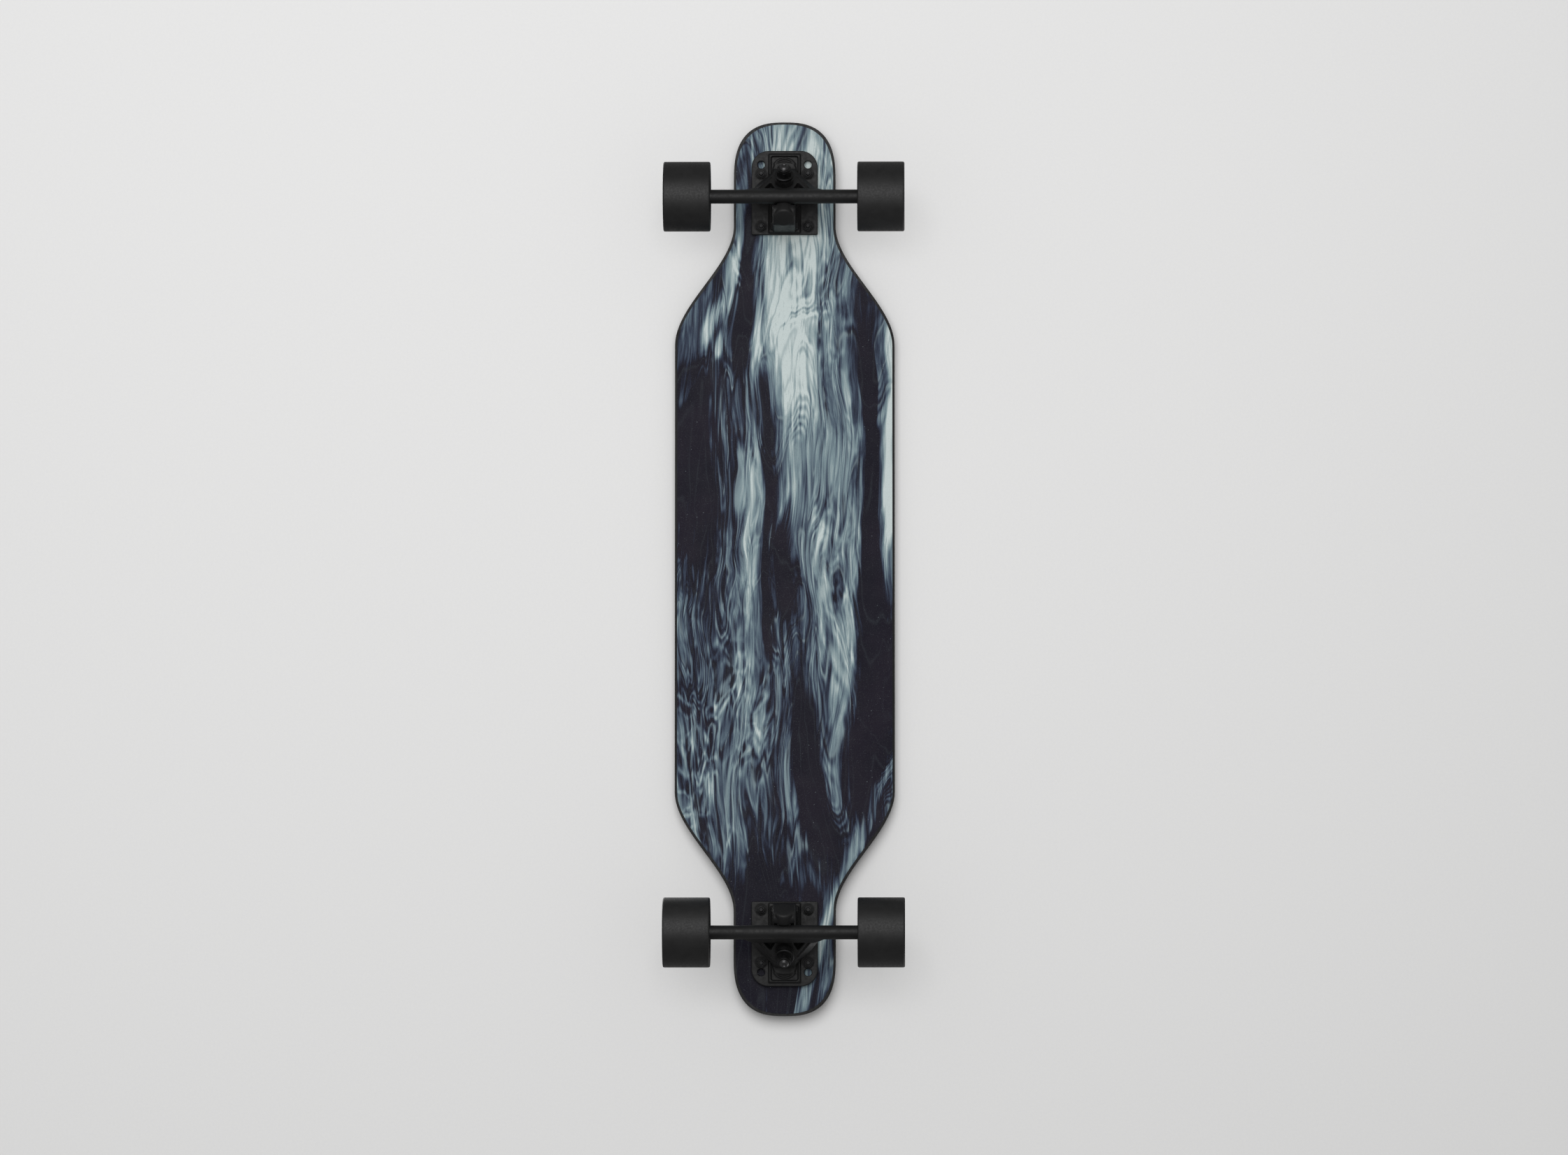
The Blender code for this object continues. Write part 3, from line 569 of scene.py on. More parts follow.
# ------------------------------------------------------------------ camera
HERE = Vector((-0.00994, -0.0007, DECK_BOTTOM * MM))
TILT, SIDE = math.radians(4.1), 0.014
AWAY = 10.0
camera_data = bpy.data.cameras.new("camera")
camera_data.sensor_width = 36.0
camera_data.lens = 36.0 / (2242 * 0.7139 * MM / AWAY)
camera_data.clip_start = 1.0
camera_data.clip_end = 40.0
camera = bpy.data.objects.new("camera", camera_data)
bpy.context.scene.collection.objects.link(camera)
camera.location = HERE + Vector((-math.sin(TILT), SIDE, -math.cos(TILT))) * AWAY
look = (HERE - camera.location).normalized()
up = Vector((1, 0, 0))
up = (up - look * up.dot(look)).normalized()
right = look.cross(up)
camera.rotation_euler = Matrix((right, up, -look)).transposed().to_euler()
bpy.context.scene.camera = camera

# ------------------------------------------------------------------ deck, film and grip tape
def step_between(value, low, high):
    t = min(1.0, max(0.0, (value - low) / (high - low)))
    return t * t * (3 - 2 * t)


def outline_half_width(x):
    x = abs(x)
    cap_start = DECK_HALF_LENGTH - NOSE_CAP
    narrow = step_between(x, CUT_OUT_CENTRE - CUT_OUT_LENGTH / 2, CUT_OUT_CENTRE + CUT_OUT_LENGTH / 2)
    width = DECK_HALF_WIDTH + (NECK_HALF_WIDTH - DECK_HALF_WIDTH) * narrow
    if x > cap_start:
        along = min(1.0, (x - cap_start) / NOSE_CAP)
        width *= (1 - along**NOSE_POWER) ** (1 / NOSE_POWER)
    return width


def concave(x, y):
    fade = 1 - step_between(abs(x), CONCAVE_FULL, CONCAVE_NONE)
    return CONCAVE * fade * (y / DECK_HALF_WIDTH) ** 2


def deck_sheet(name, height, thickness, inset, across, mat, edge_round=0.0):
    cap_start = DECK_HALF_LENGTH - NOSE_CAP
    half = [12.0 * i for i in range(17)]
    half += [204 + 5.0 * i for i in range(33)]
    half += [372.0, 380.0, 389.0, cap_start]
    steps = 26
    half += [cap_start + NOSE_CAP * math.sin(math.pi / 2 * i / steps) ** (2 / NOSE_POWER) for i in range(1, steps + 1)]
    rows = [-x for x in reversed(half[1:])] + half
    shrink = (DECK_HALF_LENGTH - inset) / DECK_HALF_LENGTH
    shaped = bmesh.new()
    grid = []
    for x in rows:
        width = max(0.0, outline_half_width(x) - inset)
        if abs(x) > DECK_HALF_LENGTH - 1e-6:
            grid.append([shaped.verts.new((x * shrink * MM, 0, (height + concave(x, 0)) * MM))])
            continue
        row = []
        for j in range(across + 1):
            y = (2 * j / across - 1) * width
            row.append(shaped.verts.new((x * shrink * MM, y * MM, (height + concave(x, y)) * MM)))
        grid.append(row)
    for a, b in zip(grid, grid[1:]):
        for j in range(across):
            if len(a) == 1:
                shaped.faces.new((a[0], b[j], b[j + 1]))
            elif len(b) == 1:
                shaped.faces.new((a[j], b[0], a[j + 1]))
            else:
                shaped.faces.new((a[j], b[j], b[j + 1], a[j + 1]))
    bmesh.ops.recalc_face_normals(shaped, faces=shaped.faces)
    if sum(face.normal.z for face in shaped.faces) < 0:
        bmesh.ops.reverse_faces(shaped, faces=shaped.faces)
    mesh = bpy.data.meshes.new(name)
    shaped.to_mesh(mesh)
    shaped.free()
    obj = add(name, mesh, mat)
    solid = obj.modifiers.new("Thickness", "SOLIDIFY")
    solid.thickness = thickness * MM
    solid.offset = 1.0
    if edge_round:
        edge = obj.modifiers.new("Edge", "BEVEL")
        edge.width = edge_round * MM
        edge.segments = 4
        edge.limit_method = "ANGLE"
        edge.angle_limit = math.radians(50)
    return obj


GRIP_LOW = DECK_BOTTOM + DECK_THICKNESS + 0.3
GRIP_TOP = GRIP_LOW + 0.8
FILM_LOW = DECK_BOTTOM - 0.6
BOLT_TOP = GRIP_TOP - 0.05
BOLT_TIP = DECK_BOTTOM - 15.0
bolt_spots = [
    (end * (BASE_CENTRE + along), side * BOLT_SIDE) for end in (1, -1) for along in (BOLT_IN, BOLT_OUT) for side in (1, -1)
]
hole_mesh = lathe_mesh(
    "hole",
    [(0, GRIP_TOP + 4), (4.85, GRIP_TOP + 4), (4.85, BOLT_TOP - 0.6), (2.75, BOLT_TOP - 3.3), (2.75, DECK_BOTTOM - 4), (0, DECK_BOTTOM - 4)],
    28,
)
sheets = [
    ("deck_board", DECK_BOTTOM, DECK_THICKNESS, 0.0, 20, MAPLE, 2.4, "deck", "deck_wood"),
    ("printed_film", FILM_LOW, 0.3, 2.3, 20, PRINT, 0.0, "bottom_graphic", "print"),
    ("grip_sheet", GRIP_LOW, 0.8, 2.6, 20, GRIT, 0.0, "grip_tape", "grip"),
]
holes = []
for x, y in bolt_spots:
    hole = bpy.data.objects.new("hole", hole_mesh)
    bpy.context.scene.collection.objects.link(hole)
    hole.location = (x * MM, y * MM, 0)
    holes.append(hole)
for name, height, thickness, inset, across, mat, edge_round, node, slot in sheets:
    sheet = deck_sheet(name, height, thickness, inset, across, mat, edge_round)
    for hole in holes:
        boolean(sheet, hole)
    made = add(name, shade(settle(sheet), 34), mat)
    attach(made, "deck")
    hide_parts(node)
remove(*holes)


# ------------------------------------------------------------------ fasteners
def hex_nut_mesh(name, across_corners, low, high, hole, collar=0.0, steps=36):
    """A chamfered hexagon with a round hole, and a rolled collar where a nyloc nut's nylon ring would sit."""
    body_top = high - collar
    prism = bmesh.new()
    bmesh.ops.create_cone(prism, cap_ends=True, segments=6, radius1=across_corners * MM, radius2=across_corners * MM, depth=(body_top - low) * MM, matrix=Matrix.Translation((0, 0, (low + body_top) / 2 * MM)))
    mesh = bpy.data.meshes.new(name)
    prism.to_mesh(mesh)
    prism.free()
    obj = add(name, mesh, BLACK_STEEL)
    flat = across_corners * math.cos(math.radians(30))
    cut = 0.55
    envelope = add(
        name + "_envelope",
        lathe_mesh(
            name + "_envelope",
            [(0, body_top + 0.01), (flat + 0.15, body_top + 0.01), (across_corners + 0.3, body_top - cut), (across_corners + 0.3, low + cut), (flat + 0.15, low - 0.01), (0, low - 0.01)],
            steps,
        ),
        BLACK_STEEL,
    )
    boolean(obj, envelope, "INTERSECT")
    extra = []
    if collar:
        top = add(
            name + "_collar",
            lathe_mesh(
                name + "_collar",
                rounded(
                    [(hole - 0.3, high, 0), (flat * 0.70, high, 0), (flat * 0.92, high - 0.35, 0.5), (flat * 0.95, body_top - 0.4, 0), (hole - 0.3, body_top - 0.4, 0)],
                    0.3,
                ),
                steps,
            ),
            BLACK_STEEL,
        )
        boolean(obj, top, "UNION")
        extra.append(top)
    bore = add(name + "_bore", lathe_mesh(name + "_bore", [(0, high + 2), (hole, high + 2), (hole, low - 2), (0, low - 2)], steps), BLACK_STEEL)
    boolean(obj, bore)
    made = settle(obj)
    remove(envelope, bore, *extra)
    return shade(made, 28)


def thread_profile(radius, start, end, pitch, depth):
    """(radius, height) points of a cut thread's ridges, from the high end down."""
    points = []
    z = start
    while z - pitch > end:
        points += [(radius - depth, z), (radius, z - pitch * 0.35), (radius, z - pitch * 0.5), (radius - depth, z - pitch * 0.85)]
        z -= pitch
    return points


def keep_material(mesh, mats):
    mesh.materials.clear()
    for mat in mats:
        mesh.materials.append(mat)
    return mesh


bolt_mesh = lathe_mesh(
    "deck_bolt",
    [(0, BOLT_TOP - 1.5), (1.5, BOLT_TOP - 1.5), (1.75, BOLT_TOP), (4.3, BOLT_TOP), (4.5, BOLT_TOP - 0.2), (4.5, BOLT_TOP - 0.6), (2.35, BOLT_TOP - 3.1), (2.35, DECK_BOTTOM - 5.0)]
    + thread_profile(2.35, DECK_BOTTOM - 5.2, BOLT_TIP + 0.7, 0.8, 0.3)
    + [(2.2, BOLT_TIP + 0.5), (1.7, BOLT_TIP), (0, BOLT_TIP)],
    24,
)
lock_nut_mesh = hex_nut_mesh("lock_nut", 5.15, DECK_BOTTOM - BASE_TOP - 5.2, DECK_BOTTOM - BASE_TOP - 0.3, 2.55)
# The collar faces the road, so the nut is made upright and turned over.
upright = hex_nut_mesh("lock_nut_upright", 5.15, 0.0, 4.9, 2.55, collar=1.5, steps=30)
upright.transform(Matrix.Translation((0, 0, (DECK_BOTTOM - BASE_TOP - 0.3) * MM)) @ Matrix.Rotation(math.pi, 4, "X"))
lock_nut_mesh = upright
for number, (x, y) in enumerate(bolt_spots, start=1):
    twist = Matrix.Rotation(math.radians(17.0 * number), 4, "Z")
    for label, mesh, node, slot in (
        ("countersunk_bolt", bolt_mesh, "deck_bolt", "black_steel"),
        ("nyloc_nut", lock_nut_mesh, "lock_nut", "black_steel"),
    ):
        obj = add(f"{label}_{number}", mesh, BLACK_STEEL, Matrix.Translation((x * MM, y * MM, 0)) @ twist)
        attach(obj, "deck")
        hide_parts(f"{node}_{number}")


# ------------------------------------------------------------------ truck castings, in the truck's own frame
def truck_point(t, s):
    return RING_X + t * COS + s * SIN, RING_DROP - t * SIN + s * COS


def side_solid(name, profile, half_width, round_by=0.0, segments=3):
    mesh = prism_mesh(name, [(x, -drop) for x, drop in profile], -half_width, half_width, round_by, segments)
    mesh.transform(Matrix.Rotation(math.radians(90), 4, "X"))
    return add(name, mesh, CAST)


def turned_solid(name, profile, steps, matrix):
    return add(name, lathe_mesh(name, profile, steps), CAST, matrix)


def base_outline():
    half_length, half_width, r = BASE_LENGTH / 2, BASE_WIDTH / 2, BASE_CORNER
    points = []
    for cx, cy, radius, start in (
        (half_length - r, half_width - r, r, 0),
        (-half_length + 1.2, half_width - 1.2, 1.2, 90),
        (-half_length + 1.2, -half_width + 1.2, 1.2, 180),
        (half_length - r, -half_width + r, r, 270),
    ):
        count = 15 if radius > 5 else 4
        for i in range(count):
            angle = math.radians(start + 90 * i / (count - 1))
            points.append((cx + radius * math.cos(angle), cy + radius * math.sin(angle)))
    return points


def make_baseplate():
    half = BASE_LENGTH / 2
    plate = add("casting_base", prism_mesh("casting_base", base_outline(), -BASE_TOP, -BASE_LOW), CAST)
    adds, cuts = [], []
    # The raised rib down the middle, its end sloped at the outboard side.
    adds.append(side_solid("rib", [(half - 1.4, 4.0), (half - 4.4, RIB_TOP), (-half + 2.2, RIB_TOP), (-half + 1.0, 4.0)], RIB_WIDTH / 2))
    # Kingpin seat and pivot leg.
    adds.append(
        side_solid(
            "leg",
            [
                truck_point(15.0, SEAT),
                truck_point(-12.5, SEAT),
                truck_point(-12.5, -10.5),
                truck_point(-38.0, -10.5),
                truck_point(-38.0, 7.0),
                truck_point(-40.0, 9.6),
                truck_point(-46.0, 9.6),
                truck_point(-50.6, 5.0),
                truck_point(-50.6, -9.0),
                (-40.4, 26.0),
                (-40.8, 4.0),
                (5.5, 4.0),
            ],
            11.3,
            1.5,
        )
    )
    adds.append(turned_solid("cup_boss", rounded([(0, 50.9, 0), (11.4, 50.9, 3.2), (11.4, 38.1, 1.0), (0, 38.1, 0)], 1, closed=False), 48, ON_STEM))
    adds.append(turned_solid("seat_boss", [(0, SEAT), (11.3, SEAT), (12.2, SEAT - 8), (0, SEAT - 8)], 48, ON_KINGPIN))
    for side in (1, -1):
        # Webs from the leg's foot out to the rib's edges.
        adds.append(side_solid("web", [(-38.5, 4.0), (-38.0, 18.0), (-33.0, 22.0), (-14.0, 11.0), (-2.0, 8.0), (-2.0, 4.0)], 1.5, 0.5))
        adds[-1].location.y = side * 12.6 * MM
    # The sunk panel and what stands in it.
    panel = add("panel", prism_mesh("panel", rounded([(37.4, -13.9), (37.4, 13.9), (7.0, 13.9), (7.0, -13.9)], 2.5, 5), -12.0, -7.2), CAST)
    cuts.append(panel)
    pad = add(
        "pad",
        prism_mesh("pad", rounded([(12.0, -12.2), (24.0, -12.2), (29.5, -9.8), (31.4, -4.0), (31.4, 4.0), (29.5, 9.8), (24.0, 12.2), (12.0, 12.2)], 2.5, 5), -8.6, -6.2, 0.5),
        CAST,
    )
    arc = []
    for i in range(25):
        angle = math.radians(-58 + 116 * i / 24)
        arc.append((22.6 + 12.9 * math.cos(angle), 12.9 * math.sin(angle)))
    for i in range(24, -1, -1):
        angle = math.radians(-58 + 116 * i / 24)
        arc.append((22.6 + 11.7 * math.cos(angle), 11.7 * math.sin(angle)))
    ridge = add("ridge", prism_mesh("ridge", arc, -8.3, -6.2), CAST)
    collars = []
    for along in (BOLT_IN, BOLT_OUT, HOLE_OUT):
        for side in (1, -1):
            at = Matrix.Translation((along * MM, side * BOLT_SIDE * MM, 0))
            if along != HOLE_OUT:
                # Spot face under each nut, cut into the plate.
                cuts.append(turned_solid("spot", [(0, -BASE_TOP + 0.35), (6.3, -BASE_TOP + 0.35), (6.5, -12.0), (0, -12.0)], 40, at))
            cuts.append(turned_solid("hole", [(0, 3), (3.85, 3), (3.85, -12), (0, -12)], 40, at))
    cuts.append(turned_solid("kingpin_hole", [(0, SEAT + 8), (5.15, SEAT + 8), (5.15, -60), (0, -60)], 40, ON_KINGPIN))
    cuts.append(turned_solid("head_pocket", [(0, -27.5), (7.7, -27.5), (7.7, -60), (0, -60)], 40, ON_KINGPIN))
    cuts.append(turned_solid("cup_bore", [(0, 48.5), (8.35, 48.5), (8.35, 30), (0, 30)], 40, ON_STEM))
    for solid in adds:
        boolean(plate, solid, "UNION")
    boolean(plate, panel)
    boolean(plate, pad, "UNION")
    boolean(plate, ridge, "UNION")
    for solid in cuts[1:]:
        boolean(plate, solid)
    made = settle(plate)
    remove(*adds, *cuts, pad, ridge)
    return cast_skin(made, "casting_base", 0.62, 3, 0.30)


HANGER = [
    (-34.0, 43.5, 43.5, 15.5, 7.0),
    (-29.0, 43.5, 44.0, 16.0, 4.5),
    (-24.0, 41.0, 43.4, 15.6, 1.2),
    (-18.0, 35.0, 41.4, 12.0, -3.0),
    (-13.0, 30.0, 39.0, 8.0, -RING_HALF),
    (-10.6, 27.6, 37.6, RING_HALF, -RING_HALF),
    (-5.0, 23.5, 34.8, RING_HALF, -RING_HALF),
    (1.0, 19.2, 31.5, RING_HALF, -RING_HALF),
    (8.0, 14.5, 27.0, RING_HALF, -RING_HALF),
    (13.0, 11.5, 22.8, RING_HALF, -RING_HALF),
    (19.0, 11.0, 17.2, 3.6, -4.2),
    (24.0, 11.0, 12.8, 2.0, -3.0),
]


def make_hanger():
    shaped = bmesh.new()
    rows = []
    for t, top_half, low_half, top, low in HANGER:
        row = []
        for half, s in ((top_half, top), (-top_half, top), (-low_half, low), (low_half, low)):
            x, drop = truck_point(t, s)
            row.append(shaped.verts.new((x * MM, half * MM, -drop * MM)))
        rows.append(row)
    for a, b in zip(rows, rows[1:]):
        for i in range(4):
            j = (i + 1) % 4
            shaped.faces.new((a[i], a[j], b[j], b[i]))
    shaped.faces.new(rows[0])
    shaped.faces.new(list(reversed(rows[-1])))
    bmesh.ops.recalc_face_normals(shaped, faces=shaped.faces)
    mesh = bpy.data.meshes.new("casting_hanger")
    shaped.to_mesh(mesh)
    shaped.free()
    body = add("casting_hanger", mesh, CAST)
    adds = [
        turned_solid(
            "tube",
            [(0, 86.0), (5.9, 86.0), (6.2, 83.4), (7.15, 81.2), (7.15, 40.0), (7.3, 26.0), (7.3, -26.0), (7.15, -40.0), (7.15, -81.2), (6.2, -83.4), (5.9, -86.0), (0, -86.0)],
            64,
            ON_AXLE,
        ),
        turned_solid("stem", rounded([(0, 46.3, 0), (3.6, 46.3, 1.5), (5.45, 43.4, 1.5), (5.45, 37.0, 0.5), (6.4, 33.0, 0.5), (7.2, 26.0, 0), (7.2, 12.0, 0), (0, 12.0, 0)], 1, closed=False), 48, ON_STEM),
        turned_solid("ring", [(0, RING_HALF + 0.05), (12.4, RING_HALF + 0.05), (13.4, -RING_HALF), (0, -RING_HALF)], 64, ON_KINGPIN),
    ]
    cuts = [
        turned_solid("ring_hole", [(0, 9), (6.6, 9), (6.6, -9), (0, -9)], 48, ON_KINGPIN),
        turned_solid("axle_bore", [(0, 92), (4.15, 92), (4.15, -92), (0, -92)], 40, ON_AXLE),
    ]
    # The cast pockets in the roadside of each arm.
    for side in (1, -1):
        outline = []
        for t, half in ((-13.5, 9.5), (-13.5, 22.5), (-6.0, 18.2), (0.5, 13.4), (-3.0, 12.6), (-8.5, 9.5)):
            outline.append((t, side * half))
        pocket = prism_mesh("pocket", rounded(outline, 1.6, 4), -2.2, 9.0)
        # A groove down each arm leaves a raised rim along both of its edges.
        groove = []
        for t, half in ((-13.5, 27.2), (-13.5, 25.0), (-5.0, 20.4), (3.0, 15.4), (8.5, 12.0), (9.5, 13.4), (4.0, 17.0), (-4.0, 22.6)):
            groove.append((t, side * half))
        groove = prism_mesh("groove", rounded(groove, 0.8, 3), 3.3, 12.0)
        frame_of = Matrix(
            (
                (COS, 0, SIN, RING_X * MM),
                (0, 1, 0, 0),
                (SIN, 0, -COS, -RING_DROP * MM),
                (0, 0, 0, 1),
            )
        )
        for mesh in (pocket, groove):
            mesh.transform(frame_of)
            turned_over = bmesh.new()
            turned_over.from_mesh(mesh)
            bmesh.ops.recalc_face_normals(turned_over, faces=turned_over.faces)
            turned_over.to_mesh(mesh)
            turned_over.free()
            cuts.append(add("pocket", mesh, CAST))
    for solid in adds:
        boolean(body, solid, "UNION")
    for solid in cuts:
        boolean(body, solid)
    made = settle(body)
    remove(*adds, *cuts)
    return cast_skin(made, "casting_hanger", 0.60, 5, 0.34)


base_mesh = make_baseplate()
hanger_mesh = make_hanger()


# ------------------------------------------------------------------ bushings, washers, kingpin
def cup_washer_mesh(name, low, high, lip, up):
    """A dished washer: flat in the middle, its rim turned towards the bushing."""
    side = 1 if up else -1
    flat_low, flat_high = (low, high)
    if up:
        profile = [(5.2, flat_low + 0.9), (8.9, flat_low + 0.9), (9.5, high + lip), (10.2, high + lip), (10.2, flat_low + 0.6), (9.4, flat_low), (5.2, flat_low)]
    else:
        profile = [(5.2, flat_high), (9.4, flat_high), (10.2, flat_high - 0.6), (10.2, low - lip), (9.5, low - lip), (8.9, flat_high - 0.9), (5.2, flat_high - 0.9)]
    return lathe_mesh(name, rounded(profile, 0.25, 3), 56)


def barrel_mesh(name, low, high, radius):
    """A urethane barrel: edges rounded, sides a little crowned, in many rings."""
    side = []
    count = 14
    for i in range(count + 1):
        z = high - 1.1 - (high - low - 2.2) * i / count
        crown = 0.35 * math.sin(math.pi * i / count)
        side.append((radius - 0.35 + crown, z))
    profile = [(5.3, high), (7.2, high), (radius - 1.0, high), (radius - 0.45, high - 0.4)] + side + [(radius - 0.45, low + 0.4), (radius - 1.0, low), (7.2, low), (5.3, low)]
    inner = [(5.3, low + (high - low) * i / 6) for i in range(1, 6)]
    return lathe_mesh(name, profile + inner, 56)


STACK = [
    ("boardside_washer", "washer", SEAT + 0.3, SEAT + 2.1),
    ("boardside_bushing", "bushing", -16.8, -4.8),
    ("roadside_bushing", "bushing", 4.8, 14.0),
    ("roadside_washer", "washer", 14.3, 16.1),
]
kingpin_nut = hex_nut_mesh("kingpin_nut", 8.15, 16.4, 24.4, 4.85, collar=2.4, steps=48)
kingpin_mesh = lathe_mesh(
    "kingpin",
    [(0, 26.4), (1.6, 26.4), (2.2, 27.0), (3.5, 27.0), (4.4, 26.1)] + thread_profile(4.75, 26.0, 13.0, 1.06, 0.42) + [(4.75, 12.0), (4.75, -27.8), (7.0, -27.8), (7.0, -33.2), (6.6, -33.6), (0, -33.6)],
    40,
)
cup_mesh = lathe_mesh(
    "pivot_cup",
    rounded([(0, 48.2, 0), (8.0, 48.2, 0.8), (8.0, 38.9, 0.3), (8.2, 38.6, 0), (5.9, 38.6, 0.5), (5.8, 44.0, 0), (4.0, 46.65, 0.5), (0, 46.65, 0)], 0.4, closed=False),
    48,
)

for end, truck in TRUCKS.items():
    hanger_body = f"{end}_hanger"
    for name, mesh, mat, node, body, slot in (
        ("baseplate_casting", base_mesh, CAST, "baseplate", "deck", "casting"),
        ("hanger_casting", hanger_mesh, CAST, "hanger", hanger_body, "casting"),
    ):
        obj = add(f"{end}_{name}", mesh, mat, truck)
        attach(obj, body)
        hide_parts(f"{end}_{node}")
    place = truck @ ON_KINGPIN
    for part, kind, low, high in STACK:
        if kind == "washer":
            mesh = cup_washer_mesh(f"{end}_{part}_dished", low, high, 0.9 if part.startswith("road") else 0.0, part.startswith("board"))
            obj = add(f"{end}_{part}_dished", mesh, BLACK_STEEL, place)
            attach(obj, "deck")
        else:
            obj = add(f"{end}_{part}_barrel", barrel_mesh(f"{end}_{part}_barrel", low, high, 9.7), BUSHING, place)
            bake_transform(obj)
        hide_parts(f"{end}_{part}")
    for label, mesh, mat, where, node, slot in (
        ("kingpin_bolt", kingpin_mesh, DARK_STEEL, place, "kingpin", "bright_steel"),
        ("kingpin_nyloc", kingpin_nut, BLACK_STEEL, place, "kingpin_nut", "black_steel"),
        ("pivot_socket", cup_mesh, BUSHING, truck @ ON_STEM, "pivot_cup", "bushing"),
    ):
        obj = add(f"{end}_{label}", mesh, mat, where)
        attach(obj, "deck")
        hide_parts(f"{end}_{node}")

# ------------------------------------------------------------------ axles and wheels
axle_profile = [(0, 118.9), (1.0, 118.9), (1.7, 119.5), (3.1, 119.5), (3.75, 118.9)]
axle_profile += thread_profile(3.9, 118.6, 109.5, 1.05, 0.35) + [(3.9, 109.0), (3.9, 0.0)]
axle_profile += [(r, -z) for r, z in reversed(axle_profile[:-1])]
axle_mesh = lathe_mesh("axle_rod", axle_profile, 40)

tyre_profile = [
    (17.3, 15.3, 0),
    (19.6, 15.5, 1.0),
    (22.4, 17.6, 2.0),
    (28.2, 23.0, 3.0),
    (30.6, 23.9, 1.0),
    (34.0, 24.0, 1.2),
    (35.15, 23.5, 1.0),
    (35.5, 22.4, 1.0),
    (35.5, 8.0, 0),
    (35.5, 0.0, 0),
    (35.5, -8.0, 0),
    (35.5, -22.4, 1.0),
    (35.15, -23.5, 1.0),
    (34.0, -24.0, 1.2),
    (30.6, -23.9, 1.0),
    (28.2, -23.0, 3.0),
    (22.4, -17.6, 2.0),
    (19.6, -15.5, 1.0),
    (17.3, -15.3, 0),
]
tyre_mesh = lathe_mesh("tyre", rounded(tyre_profile, 0.8, 4), 128)


def core_mesh():
    """The moulded hub: lathed shell with a stepped face, and short ribs between bearing seat and rim."""
    shell = lathe_mesh(
        "core",
        rounded(
            [
                (11.3, 14.8, 0.3),
                (12.7, 14.8, 0.3),
                (12.9, 12.4, 0.4),
                (15.2, 12.4, 0.4),
                (15.4, 14.9, 0.3),
                (17.0, 14.9, 0.3),
                (17.0, -14.9, 0.3),
                (15.4, -14.9, 0.3),
                (15.2, -12.4, 0.4),
                (12.9, -12.4, 0.4),
                (12.7, -14.8, 0.3),
                (11.3, -14.8, 0.3),
                (11.3, -5.0, 0),
                (9.2, -5.0, 0.2),
                (9.2, 5.0, 0.2),
                (11.3, 5.0, 0),
            ],
            0.3,
            3,
        ),
        72,
    )
    shaped = bmesh.new()
    shaped.from_mesh(shell)
    for side in (1, -1):
        for i in range(10):
            turn = Matrix.Rotation(2 * math.pi * i / 10, 4, "Z")
            box = bmesh.ops.create_cube(shaped, size=1.0, matrix=turn @ Matrix.Translation((14.05 * MM, 0, side * 13.1 * MM)) @ Matrix.Diagonal((2.9 * MM, 1.3 * MM, 2.6 * MM, 1)))
            edges = list({e for v in box["verts"] for e in v.link_edges})
            bmesh.ops.bevel(shaped, geom=edges, offset=0.25 * MM, segments=2, affect="EDGES", profile=0.5)
    shaped.to_mesh(shell)
    shaped.free()
    return shade(shell)


hub_mesh = core_mesh()


def bearing_mesh(name, low, high):
    """Races with a pressed shield between them, on both faces."""
    face = [
        (4.2, 0.25, 0),
        (4.45, 0.0, 0),
        (5.9, 0.0, 0),
        (6.0, 0.35, 0),
        (6.35, 0.35, 0),
        (6.5, 0.18, 0),
        (8.9, 0.18, 0),
        (9.1, 0.45, 0),
        (9.35, 0.45, 0),
        (9.45, 0.0, 0),
        (10.75, 0.0, 0),
        (11.0, 0.25, 0),
    ]
    profile = [(r, high - d) for r, d, _ in face] + [(r, low + d) for r, d, _ in reversed(face)]
    return lathe_mesh(name, profile, 64)


nut_mesh = hex_nut_mesh("axle_nut", 7.2, 0.0, 6.2, 4.0, collar=1.7, steps=40)
start = WHEEL_CENTRE + 5.3 + 7.0 + 0.4
for end, truck in TRUCKS.items():
    direction = 1 if end == "front" else -1
    axle = add(f"{end}_axle_rod", axle_mesh, ZINC, truck @ ON_AXLE)
    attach(axle, f"{end}_hanger")
    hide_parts(f"{end}_axle")
    for label in ("left", "right"):
        side = direction if label == "left" else -direction
        wheel = f"{end}_{label}_wheel"
        centre = truck @ ON_AXLE @ Matrix.Translation((0, 0, side * WHEEL_CENTRE * MM))
        outward = centre if side > 0 else centre @ Matrix.Rotation(math.pi, 4, "X")
        pieces = [
            ("cast_tyre", tyre_mesh, URETHANE, "tyre", "urethane"),
            ("moulded_core", hub_mesh, CORE, "core", "core_plastic"),
            ("shielded_outer_bearing", bearing_mesh("outer_bearing", 5.3, 12.3), SHIELD, "outer_bearing", "bright_steel"),
            ("shielded_inner_bearing", bearing_mesh("inner_bearing", -12.3, -5.3), SHIELD, "inner_bearing", "bright_steel"),
        ]
        for name, mesh, mat, node, slot in pieces:
            obj = add(f"{end}_{label}_{name}", mesh, mat, outward)
            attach(obj, wheel)
            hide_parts(f"{end}_{label}_{node}")
        nut = add(f"{end}_{label}_nyloc_nut", nut_mesh, BLACK_STEEL, outward @ Matrix.Translation((0, 0, (start - WHEEL_CENTRE) * MM)) @ Matrix.Rotation(math.radians(13 + 20 * side), 4, "Z"))
        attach(nut, f"{end}_hanger")
        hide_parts(f"{end}_{label}_axle_nut")


